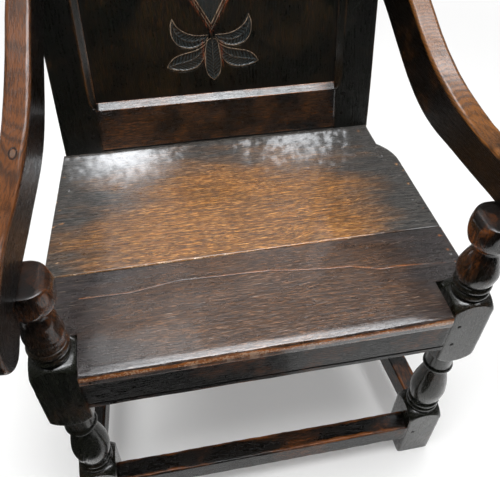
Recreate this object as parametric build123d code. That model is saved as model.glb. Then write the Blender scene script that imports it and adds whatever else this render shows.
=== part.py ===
from build123d import *
import math
import os

# Joined oak wainscot armchair. Millimetres, +Z up, the front of the chair faces -Y.
# The origin is on the floor, in the middle of the chair's overall width and depth.
# Right-hand pieces are modelled and mirrored, because the frame is symmetric.

# ================================================================ driving sizes
front_width = 638.0          # over the outer faces of the two front legs
back_width = 576.0           # over the outer faces of the two rear posts
seat_depth = 466.0           # front face of the legs to front face of the posts, at seat level
seat_height = 438.0          # floor to the top of the seat boards
seat_thickness = 21.0
leg_section = 60.0           # square blocks of the front legs
post_width = 69.0
post_depth = 48.0
post_length = 650.0          # raked length of a rear post above the seat
back_rake = 11.25            # degrees behind the vertical

rail_height = 71.0
rail_thickness = 28.0
bead_line_height = 9.0       # scratched line above the front rail's lower edge
bead_line_width = 2.2
bead_line_depth = 1.2
stretcher_height = 42.0
stretcher_thickness = 35.0
stretcher_underside = 55.0   # floor to the underside of the stretchers

# turned lengths of the front legs
turning_allowance = 0.5      # wood taken off the square to make the fullest round
stretcher_block_height = 110.0
shoulder_length = 25.0       # from a block's corners to the neck of the turning
seat_block_below_rail = 16.0
seat_block_above_rail = 6.0
bead_height = 11.0
bead_gap = 2.0
bead_radius = 27.5
bead_root_radius = 24.0
vase_base_radius = 25.5
neck_radius = 17.5
lower_collar_radius = 24.5
lower_collar_height = 11.0
lower_collar_drop = 48.0     # foot of the lower collar to the neck under the seat block
lower_collar_neck = 21.5     # radius of the plain length above the lower collar
upper_collar_radius = 20.5
upper_collar_height = 7.0
upper_collar_drop = 11.0
top_block_height = 43.0
top_block_barrel = 33.5      # the top block is turned to this radius across its corners
top_block_waist = 31.5       # radius of the barrel at its upper and lower ends
top_block_round = 14.0       # the inner upper edge, rubbed round

# arms
arm_height = 591.0           # floor to the level underside of an arm
arm_thickness = 35.0
arm_grip_depth = 56.0        # underside to top along the level stretch
arm_root_depth = 66.0        # underside to top where the arm meets the post
arm_level_length = 205.0     # straight underside behind the leg's front face
arm_root_rise = 126.0        # underside at the post above the level underside
arm_front_lap = 20.0         # an arm's inner face inside the leg's outer face
arm_rear_lap = 26.0          # an arm's inner face inside the post's outer face
scroll_reach = 83.0          # end of the scroll in front of the leg's front face
scroll_drop = 42.0           # lowest point of the scroll below the arm's underside
scroll_clear = 12.0          # gap between the scroll and the leg

# back
back_rail_top = 89.0         # raked height of the lower back rail's upper edge
back_rail_gap = 3.0          # lower back rail above the seat boards
back_rail_thickness = 32.0
panel_height = 456.0         # visible height of the panel
top_rail_height = 90.0
top_rail_arch = 26.0         # rise of the top rail's upper edge at its middle
bevel_width = 11.0
bevel_depth = 10.0
bevel_stop = 23.0            # length of the curved stop where a post's bevel dies out
panel_recess = 12.5          # front of the panel behind the face of the frame
panel_thickness = 12.0
panel_tongue = 8.0           # thickness of the panel's edge in its groove
panel_relief = 6.0           # the full thickness starts this far inside the opening
groove_depth = 9.0

# seat boards
seat_joint = 170.0           # joint between the two boards, behind the leg's front face
seat_joint_gap = 1.2
seat_front_overhang = 9.0
seat_side_overhang = 3.0
seat_nose = 6.0
seat_rear_bearing = 14.0     # how far the rear board lies on the rear rail
seat_notch_gap = 0.5
seat_right_notch_gap = 6.0   # the notch round the right leg is cut wide
seat_right_front = -8.0      # right edge beyond the leg's outer face, at the front
seat_right_rear = 20.0       # right edge beyond the post's outer face, before the sawn step
post_step_inset = 4.0        # sawn step beside the right post, inside the post's outer face
post_step_length = 64.0
post_step_curve = 57.0

# joints
tenon_thickness = 10.0
tenon_length = 34.0
side_tenon_length = 30.0
tenon_shoulder = 3.0         # height lost above and below a tenon
haunch = 2.0                 # back tenons stay this far clear of the panel's groove
back_tenon_foot = 16.0       # raked height of the lower back tenon's lower edge
joint_clearance = 0.2
peg_radius = 4.0
peg_clearance = 0.1
peg_inset = 15.0             # peg centre from the shoulder line
peg_length = 42.0
side_peg_length = 28.0
rail_peg_spacing = 44.0
rail_peg_drop = 3.0          # middle of a rail's two pegs below the middle of the rail
back_peg_drop = 40.5         # middle of the lower back pegs below the rail's upper edge
back_peg_spacing = 38.0
back_peg_length = 40.0
arm_tenon_thickness = 14.0
arm_tenon_width = 30.0
arm_tenon_height = 34.0
arm_root_tenon_length = 26.0
arm_root_shoulder = 8.0      # height lost above and below the tenon at the back of an arm
seat_peg_radius = 3.5
seat_peg_length = 52.0
seat_peg_places = (110.0, 240.0, 366.0)   # behind the leg's front face

# carving
motif_offset = -6.0          # the carver set the motif a little to the left
lozenge_half_width = 69.0
lozenge_border = 11.0
lozenge_line = 2.4
spray_margin = 25.0          # tip of the middle leaf to the edge of the panel
carving_depth = 1.2
# each leaf as its base, its tip and a point on each side, measured from the lozenge's point
upper_leaf = ((9.0, -10.0), (65.0, 21.0), (40.0, -4.0), (54.0, -21.0))
lower_leaf = ((10.0, -29.0), (82.0, -58.0), (50.0, -34.0), (42.0, -65.0))
middle_leaf = ((0.0, -19.0), (0.0, -85.0), (14.0, -57.0), (-14.0, -57.0))

# ================================================================ places worked out from the sizes
rake = math.radians(back_rake)
half_front = front_width / 2
half_back = back_width / 2
leg_inner = half_front - leg_section
post_inner = half_back - post_width

rail_top = seat_height - seat_thickness
rail_bottom = rail_top - rail_height
rail_levels = (rail_bottom, rail_top)
stretcher_levels = (stretcher_underside, stretcher_underside + stretcher_height)
rail_peg_middle = (rail_top + rail_bottom) / 2 - rail_peg_drop
peg_levels = (rail_peg_middle - rail_peg_spacing / 2,
              rail_peg_middle + rail_peg_spacing / 2,
              sum(stretcher_levels) / 2)

arm_root_low = (arm_height + arm_root_rise - seat_height) / math.cos(rake)
arm_root_high = arm_root_low + arm_root_depth
arm_root_middle = (arm_root_low + arm_root_high) / 2
arm_run = seat_depth + arm_root_middle * math.sin(rake)   # leg's front face to the arm's back end
arm_front_inner = half_front - arm_front_lap
arm_splay = math.atan2(arm_front_inner - (half_back - arm_rear_lap), arm_run)

reach_forward = scroll_reach * math.cos(arm_splay)
reach_back = seat_depth + post_length * math.sin(rake) + post_depth * math.cos(rake)
leg_face = (reach_forward - reach_back) / 2
leg_back = leg_face + leg_section
leg_axis = (half_front - leg_section / 2, leg_face + leg_section / 2)
post_face = leg_face + seat_depth
post_back = post_face + post_depth
arm_root_y = leg_face + arm_run
rear_rail_face = post_back - rail_thickness
rear_stretcher_face = post_back - stretcher_thickness

panel_top = back_rail_top + panel_height
top_rail_top = panel_top + top_rail_height
back_frame = Pos(0, post_face, seat_height) * Rot(-back_rake, 0, 0)

seat_block_low = rail_bottom - seat_block_below_rail
seat_block_high = rail_top + seat_block_above_rail
block_corner = leg_section / 2 * math.sqrt(2) + 1


def block(x0, x1, y0, y1, z0, z1, room=0.0):
    """A box between two corners, with some room added on every side."""
    middle = Pos((x0 + x1) / 2, (y0 + y1) / 2, (z0 + z1) / 2)
    return middle * Box(x1 - x0 + 2 * room, y1 - y0 + 2 * room, z1 - z0 + 2 * room)


def peg(x, y, z, direction, length, room, start=0.0, radius=peg_radius):
    """A round peg that runs from a point on a face along a direction. As a hole it has some room."""
    run = length + start
    place = Plane(origin=(x, y, z), z_dir=direction)
    return place * Pos(0, 0, run / 2 - start) * Cylinder(radius + room, run)


def mirrored(shape):
    """The same piece on the other side of the chair."""
    return mirror(shape, about=Plane.YZ)


def cut_all(shape, cutters):
    """A piece with every cutter taken out of it."""
    for cutter in cutters:
        shape -= cutter
    return shape


def rail_line(y):
    """Outer face of the right side rail at a place along the chair."""
    share = (y - leg_back) / (post_face - leg_back)
    return half_front + (half_back - half_front) * share


# ================================================================ tenons, the same box for both halves
def cross_tenon(x_face, y_front, thickness, levels, room=0.0):
    """Tenon at the right end of a rail that runs across the chair."""
    middle = y_front + thickness / 2
    return block(x_face, x_face + tenon_length, middle - tenon_thickness / 2, middle + tenon_thickness / 2,
                 levels[0] + tenon_shoulder, levels[1] - tenon_shoulder, room)


def side_tenon(front_end, thickness, levels, room=0.0):
    """Tenon at one end of the right side rail or side stretcher."""
    low, high = levels[0] + tenon_shoulder, levels[1] - tenon_shoulder
    if front_end:
        middle = half_front - thickness / 2
        near, far = leg_back - side_tenon_length, leg_back
    else:
        middle = half_back - thickness / 2
        near, far = post_face, post_face + side_tenon_length
    return block(middle - tenon_thickness / 2, middle + tenon_thickness / 2, near, far, low, high, room)


def back_tenon(low, high, room=0.0):
    """Tenon at the right end of a back rail, in the raked frame."""
    middle = back_rail_thickness / 2
    return back_frame * block(post_inner, post_inner + tenon_length, middle - tenon_thickness / 2,
                              middle + tenon_thickness / 2, low, high, room)


def arm_x(y):
    """Inner and outer face of the right arm at a place along the chair."""
    inner = arm_front_inner - (y - leg_face) * math.tan(arm_splay)
    return inner, inner + arm_thickness / math.cos(arm_splay)


def arm_post_tenon(room=0.0):
    """Tenon on top of the right front leg. It enters the arm from below."""
    middle = (arm_x(leg_axis[1])[0] + half_front) / 2
    return block(middle - arm_tenon_thickness / 2, middle + arm_tenon_thickness / 2,
                 leg_axis[1] - arm_tenon_width / 2, leg_axis[1] + arm_tenon_width / 2,
                 arm_height, arm_height + arm_tenon_height, room)


def arm_root_tenon(room=0.0):
    """Tenon at the back of the right arm, square to the raked post."""
    middle = (arm_x(arm_root_y)[0] + half_back) / 2
    return back_frame * block(middle - tenon_thickness / 2, middle + tenon_thickness / 2,
                              0, arm_root_tenon_length,
                              arm_root_low + arm_root_shoulder, arm_root_high - arm_root_shoulder, room)


lower_back_tenon = (back_tenon_foot, back_rail_top - groove_depth - haunch)
upper_back_tenon = (panel_top + groove_depth + haunch, top_rail_top - tenon_shoulder)


# ================================================================ pegs, the same cylinder for peg and hole
def front_pegs(room=0.0, start=0.0):
    """Pegs through the right leg's front face into the front rail and stretcher."""
    return [peg(leg_inner + peg_inset, leg_face, z, (0, 1, 0), peg_length, room, start) for z in peg_levels]


def side_pegs(front_end, room=0.0, start=0.0):
    """Pegs through a right upright's outer face into the side rail and stretcher."""
    x, y = (half_front, leg_back - peg_inset) if front_end else (half_back, post_face + peg_inset)
    return [peg(x, y, z, (-1, 0, 0), side_peg_length, room, start) for z in peg_levels]


def rear_pegs(room=0.0, start=0.0):
    """Pegs through the right post's back face into the rear rail and stretcher."""
    return [peg(post_inner + peg_inset, post_back, z, (0, -1, 0), side_peg_length, room, start)
            for z in peg_levels]


def back_pegs(room=0.0, start=0.0):
    """Pegs through the right post's raked face into the two back rails."""
    middles = (back_rail_top - back_peg_drop, (panel_top + top_rail_top) / 2)
    levels = [middle + side * back_peg_spacing / 2 for middle in middles for side in (-1, 1)]
    return [back_frame * peg(post_inner + peg_inset, 0, level, (0, 1, 0), back_peg_length, room, start)
            for level in levels]


def arm_front_peg(room=0.0, start=0.0):
    """Peg through the arm's outer face into the tenon of the front leg."""
    middle = arm_height + arm_tenon_height / 2
    return peg(arm_x(leg_axis[1])[1], leg_axis[1], middle, (-1, 0, 0), arm_thickness * 0.8, room, start)


def arm_root_peg(room=0.0, start=0.0):
    """Peg through the post's outer face into the tenon at the back of the arm."""
    return back_frame * peg(half_back, arm_root_tenon_length / 2, arm_root_middle, (-1, 0, 0),
                            side_peg_length, room, start)


def seat_pegs(room=0.0, start=0.0):
    """Pegs through the seat boards into the right side rail."""
    pegs = []
    for place in seat_peg_places:
        y = leg_face + place
        pegs.append(peg(rail_line(y) - rail_thickness / 2, y, seat_height, (0, 0, -1),
                        seat_peg_length, room, start, seat_peg_radius))
    return pegs


# ================================================================ front legs
def shoulder(z_corner, z_neck, neck):
    """A block's rounded shoulder, between its corners and the neck of the turning."""
    middle = (neck + (block_corner - neck) * 0.72, z_corner + (z_neck - z_corner) * 0.58)
    points = [(block_corner, z_corner), middle, (neck, z_neck)]
    if z_neck < z_corner:
        points.reverse()
    return ThreePointArc(*points)


def baluster(z0, z1, collar_radius, collar_height, collar_drop, collar_neck):
    """One turned length, from below: two beads, a vase, a collar and a plain neck."""
    edges = []
    foot = z0
    for _ in range(2):
        edges.append(Line((bead_root_radius, foot), (bead_root_radius, foot + bead_gap)))
        foot += bead_gap
        edges.append(ThreePointArc((bead_root_radius, foot), (bead_radius, foot + bead_height / 2),
                                   (bead_root_radius, foot + bead_height)))
        foot += bead_height
    collar_foot = z1 - collar_drop
    vase_foot = foot + bead_gap
    vase_length = collar_foot - bead_gap - vase_foot
    fullest = leg_section / 2 - turning_allowance
    edges += [
        Line((bead_root_radius, foot), (vase_base_radius, vase_foot)),
        Spline((vase_base_radius, vase_foot),
               (fullest, vase_foot + vase_length * 0.34),
               (neck_radius + (fullest - neck_radius) * 0.3, vase_foot + vase_length * 0.8),
               (neck_radius, vase_foot + vase_length),
               tangents=[(0.7, 1), (-0.1, 1)]),
        Line((neck_radius, vase_foot + vase_length), (neck_radius, collar_foot)),
        ThreePointArc((neck_radius, collar_foot), (collar_radius, collar_foot + collar_height / 2),
                      (collar_neck, collar_foot + collar_height)),
        Line((collar_neck, collar_foot + collar_height), (collar_neck, z1)),
    ]
    return edges


def leg_outline():
    """Turned outline of a front leg. At the blocks it is wide enough to leave them square."""
    lower_start = stretcher_block_height + shoulder_length
    lower_end = seat_block_low - shoulder_length
    upper_start = seat_block_high + shoulder_length
    upper_end = arm_height - top_block_height
    barrel_foot = (top_block_waist - 3, upper_end + 1.5)
    barrel_middle = (top_block_barrel, (upper_end + arm_height) / 2)
    edges = [Line((0, 0), (block_corner, 0)),
             Line((block_corner, 0), (block_corner, stretcher_block_height)),
             shoulder(stretcher_block_height, lower_start, bead_root_radius)]
    edges += baluster(lower_start, lower_end, lower_collar_radius, lower_collar_height,
                      lower_collar_drop, lower_collar_neck)
    edges += [shoulder(seat_block_low, lower_end, lower_collar_neck),
              Line((block_corner, seat_block_low), (block_corner, seat_block_high)),
              shoulder(seat_block_high, upper_start, bead_root_radius)]
    edges += baluster(upper_start, upper_end, upper_collar_radius, upper_collar_height,
                      upper_collar_drop, neck_radius)
    edges += [Line((neck_radius, upper_end), barrel_foot),
              ThreePointArc(barrel_foot, barrel_middle, (top_block_waist, arm_height)),
              Line((top_block_waist, arm_height), (0, arm_height)),
              Line((0, arm_height), (0, 0))]
    return make_face(Wire(edges))


def front_leg():
    """The right front leg: foot, stretcher block, seat block and arm support from one stick."""
    turned = Pos(leg_axis[0], leg_axis[1], 0) * Rot(90, 0, 0) * revolve(leg_outline(), Axis.Y)
    stick = block(leg_inner, half_front, leg_face, leg_back, 0, arm_height)
    inner_top = stick.edges().filter_by(Axis.Y).group_by(Axis.Z)[-1].sort_by(Axis.X)[0]
    leg = turned & fillet(inner_top, top_block_round)
    leg += arm_post_tenon()
    cutters = [cross_tenon(leg_inner, leg_face, rail_thickness, rail_levels, joint_clearance),
               cross_tenon(leg_inner, leg_face, stretcher_thickness, stretcher_levels, joint_clearance),
               side_tenon(True, rail_thickness, rail_levels, joint_clearance),
               side_tenon(True, stretcher_thickness, stretcher_levels, joint_clearance),
               arm_front_peg(peg_clearance)]
    cutters += front_pegs(peg_clearance, 1) + side_pegs(True, peg_clearance, 1)
    return cut_all(leg, cutters)


# ================================================================ rear posts
def post_outline():
    """Side view of a rear post: upright to the seat, then raked back."""
    run, rise = math.sin(rake), math.cos(rake)
    bend_back = (post_depth - post_depth * rise) / run
    points = [(post_face, 0), (post_face, seat_height),
              (post_face + post_length * run, seat_height + post_length * rise),
              (post_face + post_length * run + post_depth * rise,
               seat_height + post_length * rise - post_depth * run),
              (post_back, seat_height - post_depth * run + bend_back * rise),
              (post_back, 0)]
    return make_face(Polyline([(0, y, z) for y, z in points], close=True))


def post_bevel():
    """The bevel on the right post's inner edge, with a curved stop at both ends."""
    foot = back_rail_top - bevel_width
    head = panel_top + bevel_width
    line = post_inner + bevel_width
    over = bevel_width / bevel_depth
    wedge = make_face(Polyline([(post_inner - 1, -1, foot), (line + over, -1, foot),
                                (post_inner, bevel_depth, foot), (post_inner - 1, bevel_depth, foot)],
                               close=True))
    stopped = make_face(Wire([
        Line((post_inner - 2, foot), (post_inner, foot)),
        TangentArc((line, foot + bevel_stop), (post_inner, foot), tangent=(0, -1)),
        Line((line, foot + bevel_stop), (line + 2, foot + bevel_stop)),
        Line((line + 2, foot + bevel_stop), (line + 2, head - bevel_stop)),
        Line((line + 2, head - bevel_stop), (line, head - bevel_stop)),
        TangentArc((line, head - bevel_stop), (post_inner, head), tangent=(0, 1)),
        Line((post_inner, head), (post_inner - 2, head)),
        Line((post_inner - 2, head), (post_inner - 2, foot)),
    ]))
    reach = extrude(Plane.XZ * stopped, bevel_depth + 2, both=True)
    return back_frame * (extrude(wedge, head - foot, dir=(0, 0, 1)) & reach)


def panel_groove():
    """The groove that runs round inside the back frame, as one slab."""
    return back_frame * block(-post_inner - groove_depth, post_inner + groove_depth,
                              panel_recess - joint_clearance, panel_recess + panel_tongue + joint_clearance,
                              back_rail_top - groove_depth, panel_top + groove_depth)


def rear_post():
    """The right rear post, which is also the stile of the back."""
    post = extrude(post_outline(), post_width, dir=(1, 0, 0))
    post = Pos(post_inner, 0, 0) * post
    cutters = [cross_tenon(post_inner, rear_rail_face, rail_thickness, rail_levels, joint_clearance),
               cross_tenon(post_inner, rear_stretcher_face, stretcher_thickness, stretcher_levels,
                           joint_clearance),
               side_tenon(False, rail_thickness, rail_levels, joint_clearance),
               side_tenon(False, stretcher_thickness, stretcher_levels, joint_clearance),
               back_tenon(*lower_back_tenon, joint_clearance),
               back_tenon(*upper_back_tenon, joint_clearance),
               arm_root_tenon(joint_clearance),
               panel_groove(), post_bevel(), arm_root_peg(peg_clearance, 1)]
    cutters += side_pegs(False, peg_clearance, 1) + rear_pegs(peg_clearance, 1) + back_pegs(peg_clearance, 1)
    return cut_all(post, cutters)


# ================================================================ rails and stretchers
def cross_piece(x_face, y_front, thickness, levels, pegs):
    """A rail or stretcher that runs across the chair, with a tenon at each end."""
    tenon = cross_tenon(x_face, y_front, thickness, levels)
    piece = block(-x_face, x_face, y_front, y_front + thickness, *levels) + tenon + mirrored(tenon)
    return cut_all(piece, pegs + [mirrored(hole) for hole in pegs])


def side_piece(thickness, levels, holes):
    """A right side rail or side stretcher, cut to the splay of the seat, with a tenon at each end."""
    plan = make_face(Polyline([(half_front, leg_back), (half_back, post_face),
                               (half_back - thickness, post_face), (half_front - thickness, leg_back)],
                              close=True))
    piece = Pos(0, 0, levels[0]) * extrude(plan, levels[1] - levels[0])
    piece += side_tenon(True, thickness, levels)
    piece += side_tenon(False, thickness, levels)
    return cut_all(piece, holes)


def front_seat_rail():
    """The front rail, with a line scratched along its lower edge."""
    rail = cross_piece(leg_inner, leg_face, rail_thickness, rail_levels, front_pegs(peg_clearance))
    line = rail_bottom + bead_line_height
    return rail - block(-leg_inner - 1, leg_inner + 1, leg_face - 1, leg_face + bead_line_depth,
                        line, line + bead_line_width)


def side_seat_rail():
    holes = side_pegs(True, peg_clearance) + side_pegs(False, peg_clearance) + seat_pegs(peg_clearance)
    return side_piece(rail_thickness, rail_levels, holes)


def side_stretcher():
    holes = side_pegs(True, peg_clearance) + side_pegs(False, peg_clearance)
    return side_piece(stretcher_thickness, stretcher_levels, holes)


def back_rail(outline, low, high):
    """A rail of the back from its front view, with its two tenons, in the raked frame."""
    body = back_frame * extrude(outline, back_rail_thickness, dir=(0, 1, 0))
    body += back_tenon(low, high)
    body += mirrored(back_tenon(low, high))
    holes = back_pegs(peg_clearance)
    return cut_all(body, holes + [mirrored(hole) for hole in holes])


def rail_bevel(edge, towards_rail):
    """The bevel along a back rail's edge, towards the panel."""
    far = edge + towards_rail * (bevel_width + bevel_width / bevel_depth)
    beyond = edge - towards_rail
    wedge = make_face(Polyline([(-post_inner, -1, far), (-post_inner, bevel_depth, edge),
                                (-post_inner, bevel_depth, beyond), (-post_inner, -1, beyond)], close=True))
    return back_frame * extrude(wedge, 2 * post_inner, dir=(1, 0, 0))


def back_bottom_rail():
    """The lower rail of the back. Its underside is sawn level, just clear of the seat."""
    outline = make_face(Polyline([(-post_inner, 0, 0), (post_inner, 0, 0), (post_inner, 0, back_rail_top),
                                  (-post_inner, 0, back_rail_top)], close=True))
    rail = back_rail(outline, *lower_back_tenon)
    rail -= rail_bevel(back_rail_top, -1)
    rail -= panel_groove() & back_frame * block(-post_inner, post_inner, 0, back_rail_thickness,
                                                0, back_rail_top + 1)
    return rail - block(-half_back, half_back, post_face - post_depth, post_back + post_depth,
                        rail_bottom, seat_height + back_rail_gap)


def back_top_rail():
    """The upper rail of the back, with a low arch along its top."""
    outline = make_face(Wire([
        Line((-post_inner, 0, panel_top), (post_inner, 0, panel_top)),
        Line((post_inner, 0, panel_top), (post_inner, 0, top_rail_top)),
        ThreePointArc((post_inner, 0, top_rail_top), (0, 0, top_rail_top + top_rail_arch),
                      (-post_inner, 0, top_rail_top)),
        Line((-post_inner, 0, top_rail_top), (-post_inner, 0, panel_top)),
    ]))
    rail = back_rail(outline, *upper_back_tenon)
    rail -= rail_bevel(panel_top, 1)
    return rail - (panel_groove() & back_frame * block(-post_inner, post_inner, 0, back_rail_thickness,
                                                       panel_top - 1, top_rail_top))


# ================================================================ carved panel
def leaf(base, tip, side_a, side_b):
    """One leaf as two arcs from its base to its tip."""
    return make_face(Wire([ThreePointArc(base, side_a, tip), ThreePointArc(tip, side_b, base)]))


def spray():
    """Five leaves that hang from the origin: one in the middle and two on each side."""
    right = [leaf(*upper_leaf), leaf(*lower_leaf)]
    return right + [mirror(one, about=Plane.YZ) for one in right] + [leaf(*middle_leaf)]


def lozenge(half_width, half_height):
    return make_face(Polyline([(half_width, 0), (0, half_height), (-half_width, 0), (0, -half_height)],
                              close=True))


def carved_panel():
    """The panel: tongued into the frame, with a lozenge and a spray of leaves at each end of it."""
    side = post_inner + groove_depth - joint_clearance * 2
    panel = block(-side, side, panel_recess, panel_recess + panel_tongue,
                  back_rail_top - groove_depth, panel_top + groove_depth - joint_clearance * 2)
    field = post_inner - panel_relief
    panel += block(-field, field, panel_recess, panel_recess + panel_thickness,
                   back_rail_top + panel_relief, panel_top - panel_relief)
    spray_height = -middle_leaf[1][1]
    half_height = panel_height / 2 - spray_margin - spray_height
    face = Plane(origin=(motif_offset, panel_recess, back_rail_top + panel_height / 2),
                 x_dir=(1, 0, 0), z_dir=(0, -1, 0))
    narrow = lozenge_line / math.sin(math.atan2(lozenge_half_width, half_height))
    inset = lozenge_border / half_height
    outer_line = lozenge(lozenge_half_width, half_height)
    outer_line -= lozenge(lozenge_half_width * (1 - narrow / half_height), half_height - narrow)
    cuts = [outer_line, lozenge(lozenge_half_width * (1 - inset), half_height - lozenge_border)]
    for one in spray():
        lower = Pos(0, -half_height, 0) * one
        cuts += [lower, mirror(lower, about=Plane.XZ)]
    for cut in cuts:
        panel -= extrude(face * cut, carving_depth, dir=(0, 1, 0))
    return back_frame * panel


# ================================================================ arms
def arm_outline():
    """Side view of an arm: distances are measured along the arm from the leg's front face."""
    root = arm_run / math.cos(arm_splay) + post_depth / 2
    root_slope = 0.2
    sweep = root - arm_level_length
    top = arm_height + arm_grip_depth
    low_root = arm_height + arm_root_rise + post_depth / 2 * root_slope
    high_root = low_root + arm_root_depth
    rise_top = high_root - top
    lowest = arm_height - scroll_drop
    scroll_top = (-scroll_reach * 0.33, top - 9)
    scroll_foot = (-scroll_clear, arm_height - scroll_drop * 0.36)
    edges = [
        Line((-scroll_clear, arm_height), (arm_level_length, arm_height)),
        Spline((arm_level_length, arm_height),
               (arm_level_length + sweep * 0.4, arm_height + arm_root_rise * 0.31),
               (arm_level_length + sweep * 0.7, arm_height + arm_root_rise * 0.8),
               (root, low_root), tangents=[(1, 0), (1, root_slope)]),
        Line((root, low_root), (root, high_root)),
        Spline((root, high_root),
               (arm_level_length + sweep * 0.58, top + rise_top * 0.74),
               (arm_level_length + sweep * 0.28, top + rise_top * 0.33),
               (arm_level_length * 0.5, top + 1),
               scroll_top, tangents=[(-1, -root_slope), (-1, -0.35)]),
        Spline(scroll_top, (-scroll_reach * 0.8, top - 30), (-scroll_reach, arm_height - 6),
               (-scroll_reach * 0.83, lowest + 9), (-scroll_reach * 0.55, lowest),
               (-scroll_reach * 0.28, lowest + 7), scroll_foot, tangents=[(-1, -0.35), (0.1, 1)]),
        Line(scroll_foot, (-scroll_clear, arm_height)),
    ]
    return make_face(Wire(edges))


def arm():
    """The right arm: a deep plank that sweeps down from the post and ends in a scroll."""
    plank = extrude(Plane.YZ * arm_outline(), arm_thickness)
    splay = Pos(arm_front_inner, leg_face, 0) * Rot(0, 0, math.degrees(arm_splay))
    body = splay * plank
    far = post_length + post_depth
    body -= back_frame * block(-half_front, half_front + arm_thickness, 0, far, -far, far)
    body += arm_root_tenon()
    return cut_all(body, [arm_post_tenon(joint_clearance), arm_front_peg(peg_clearance, 1),
                          arm_root_peg(peg_clearance, 1)])


# ================================================================ seat boards
def seat_edges():
    """Plan of the whole seat's edges: left line, right line, step by the right post."""
    left = [(-half_front - seat_side_overhang, leg_back), (-half_back - seat_side_overhang, post_face)]
    right_rear_y = post_face - post_step_length - post_step_curve
    right = [(half_front + seat_right_front, leg_back), (half_back + seat_right_rear, right_rear_y)]
    return left, right


def along(line, y):
    """X of a straight line through two points at a given Y."""
    (x0, y0), (x1, y1) = line
    return x0 + (x1 - x0) * (y - y0) / (y1 - y0)


def board(outline, holes):
    """A seat board from its plan, with its peg holes."""
    plank = Pos(0, 0, rail_top) * extrude(outline, seat_thickness)
    return cut_all(plank, holes)


def both_seat_pegs(room=0.0, start=0.0):
    right = seat_pegs(room, start)
    return right + [mirrored(one) for one in right]


def seat_board_front():
    """The front board, notched round both front legs, with a rounded front edge."""
    left, right = seat_edges()
    front = leg_face - seat_front_overhang
    rear = leg_face + seat_joint - seat_joint_gap / 2
    left_notch = -leg_inner + seat_notch_gap
    right_notch = leg_inner - seat_right_notch_gap
    points = [(left_notch, front), (right_notch, front), (right_notch, leg_back + seat_right_notch_gap / 2),
              (along(right, leg_back + seat_right_notch_gap / 2), leg_back + seat_right_notch_gap / 2),
              (along(right, rear), rear), (along(left, rear), rear),
              (along(left, leg_back + seat_notch_gap), leg_back + seat_notch_gap),
              (left_notch, leg_back + seat_notch_gap)]
    plank = board(make_face(Polyline(points, close=True)), both_seat_pegs(peg_clearance, 1))
    nose = plank.edges().filter_by(Axis.X).group_by(Axis.Y)[0]
    return fillet(nose, seat_nose)


def seat_board_rear():
    """The wide rear board, let in between the posts, with a sawn step beside the right post."""
    left, right = seat_edges()
    front = leg_face + seat_joint + seat_joint_gap / 2
    tongue = post_back - rail_thickness + seat_rear_bearing
    inner = post_inner - seat_notch_gap
    face = post_face - seat_notch_gap
    step_x = half_back - post_step_inset
    step_y = post_face - post_step_length
    straight = Polyline((step_x, step_y), (step_x, face), (inner, face), (inner, tongue), (-inner, tongue),
                        (-inner, face), (along(left, face), face), (along(left, front), front),
                        (along(right, front), front), right[1])
    step = TangentArc(right[1], (step_x, step_y), tangent=(0, 1))
    outline = make_face(Wire(straight.edges() + step.edges()))
    return board(outline, both_seat_pegs(peg_clearance, 1))


# ================================================================ the whole chair
def both_sides(solids):
    """A group of pegs with its twins on the other side."""
    return Compound(children=[one for right in solids for one in (right, mirrored(right))])


nodes = {
    "front_seat_rail": front_seat_rail(),
    "rear_seat_rail": cross_piece(post_inner, rear_rail_face, rail_thickness, rail_levels,
                                  rear_pegs(peg_clearance)),
    "front_stretcher": cross_piece(leg_inner, leg_face, stretcher_thickness, stretcher_levels,
                                   front_pegs(peg_clearance)),
    "rear_stretcher": cross_piece(post_inner, rear_stretcher_face, stretcher_thickness, stretcher_levels,
                                  rear_pegs(peg_clearance)),
    "back_bottom_rail": back_bottom_rail(),
    "back_top_rail": back_top_rail(),
    "carved_panel": carved_panel(),
    "seat_board_front": seat_board_front(),
    "seat_board_rear": seat_board_rear(),
    "front_frame_pegs": both_sides(front_pegs()),
    "side_frame_pegs": both_sides(side_pegs(True) + side_pegs(False)),
    "rear_frame_pegs": both_sides(rear_pegs()),
    "back_pegs": both_sides(back_pegs()),
    "arm_pegs": both_sides([arm_front_peg(), arm_root_peg()]),
    "seat_pegs": both_sides(seat_pegs()),
}
right_hand = {
    "front_leg": front_leg(),
    "rear_post": rear_post(),
    "side_seat_rail": side_seat_rail(),
    "side_stretcher": side_stretcher(),
    "arm": arm(),
}
for name, piece in right_hand.items():
    nodes[name + "_right"] = piece
    nodes[name + "_left"] = mirrored(piece)

os.makedirs("parts", exist_ok=True)
for name, piece in nodes.items():
    export_step(piece, f"parts/{name}.step")
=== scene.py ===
# %% [markdown]
# # A joined oak armchair
# A wainscot chair is made of thick oak members, held by tenons and wooden pegs, with a panelled back and
# a plank seat. Its solids already have their true sizes and places. This lesson gives each one the shape
# of a worn, hand-made member and a waxed oak finish, and lights the chair in a plain studio.

# %% Load the solids
import itertools
import math

import bmesh
import bpy
import numpy as np
from mathutils import Matrix, Vector


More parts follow.
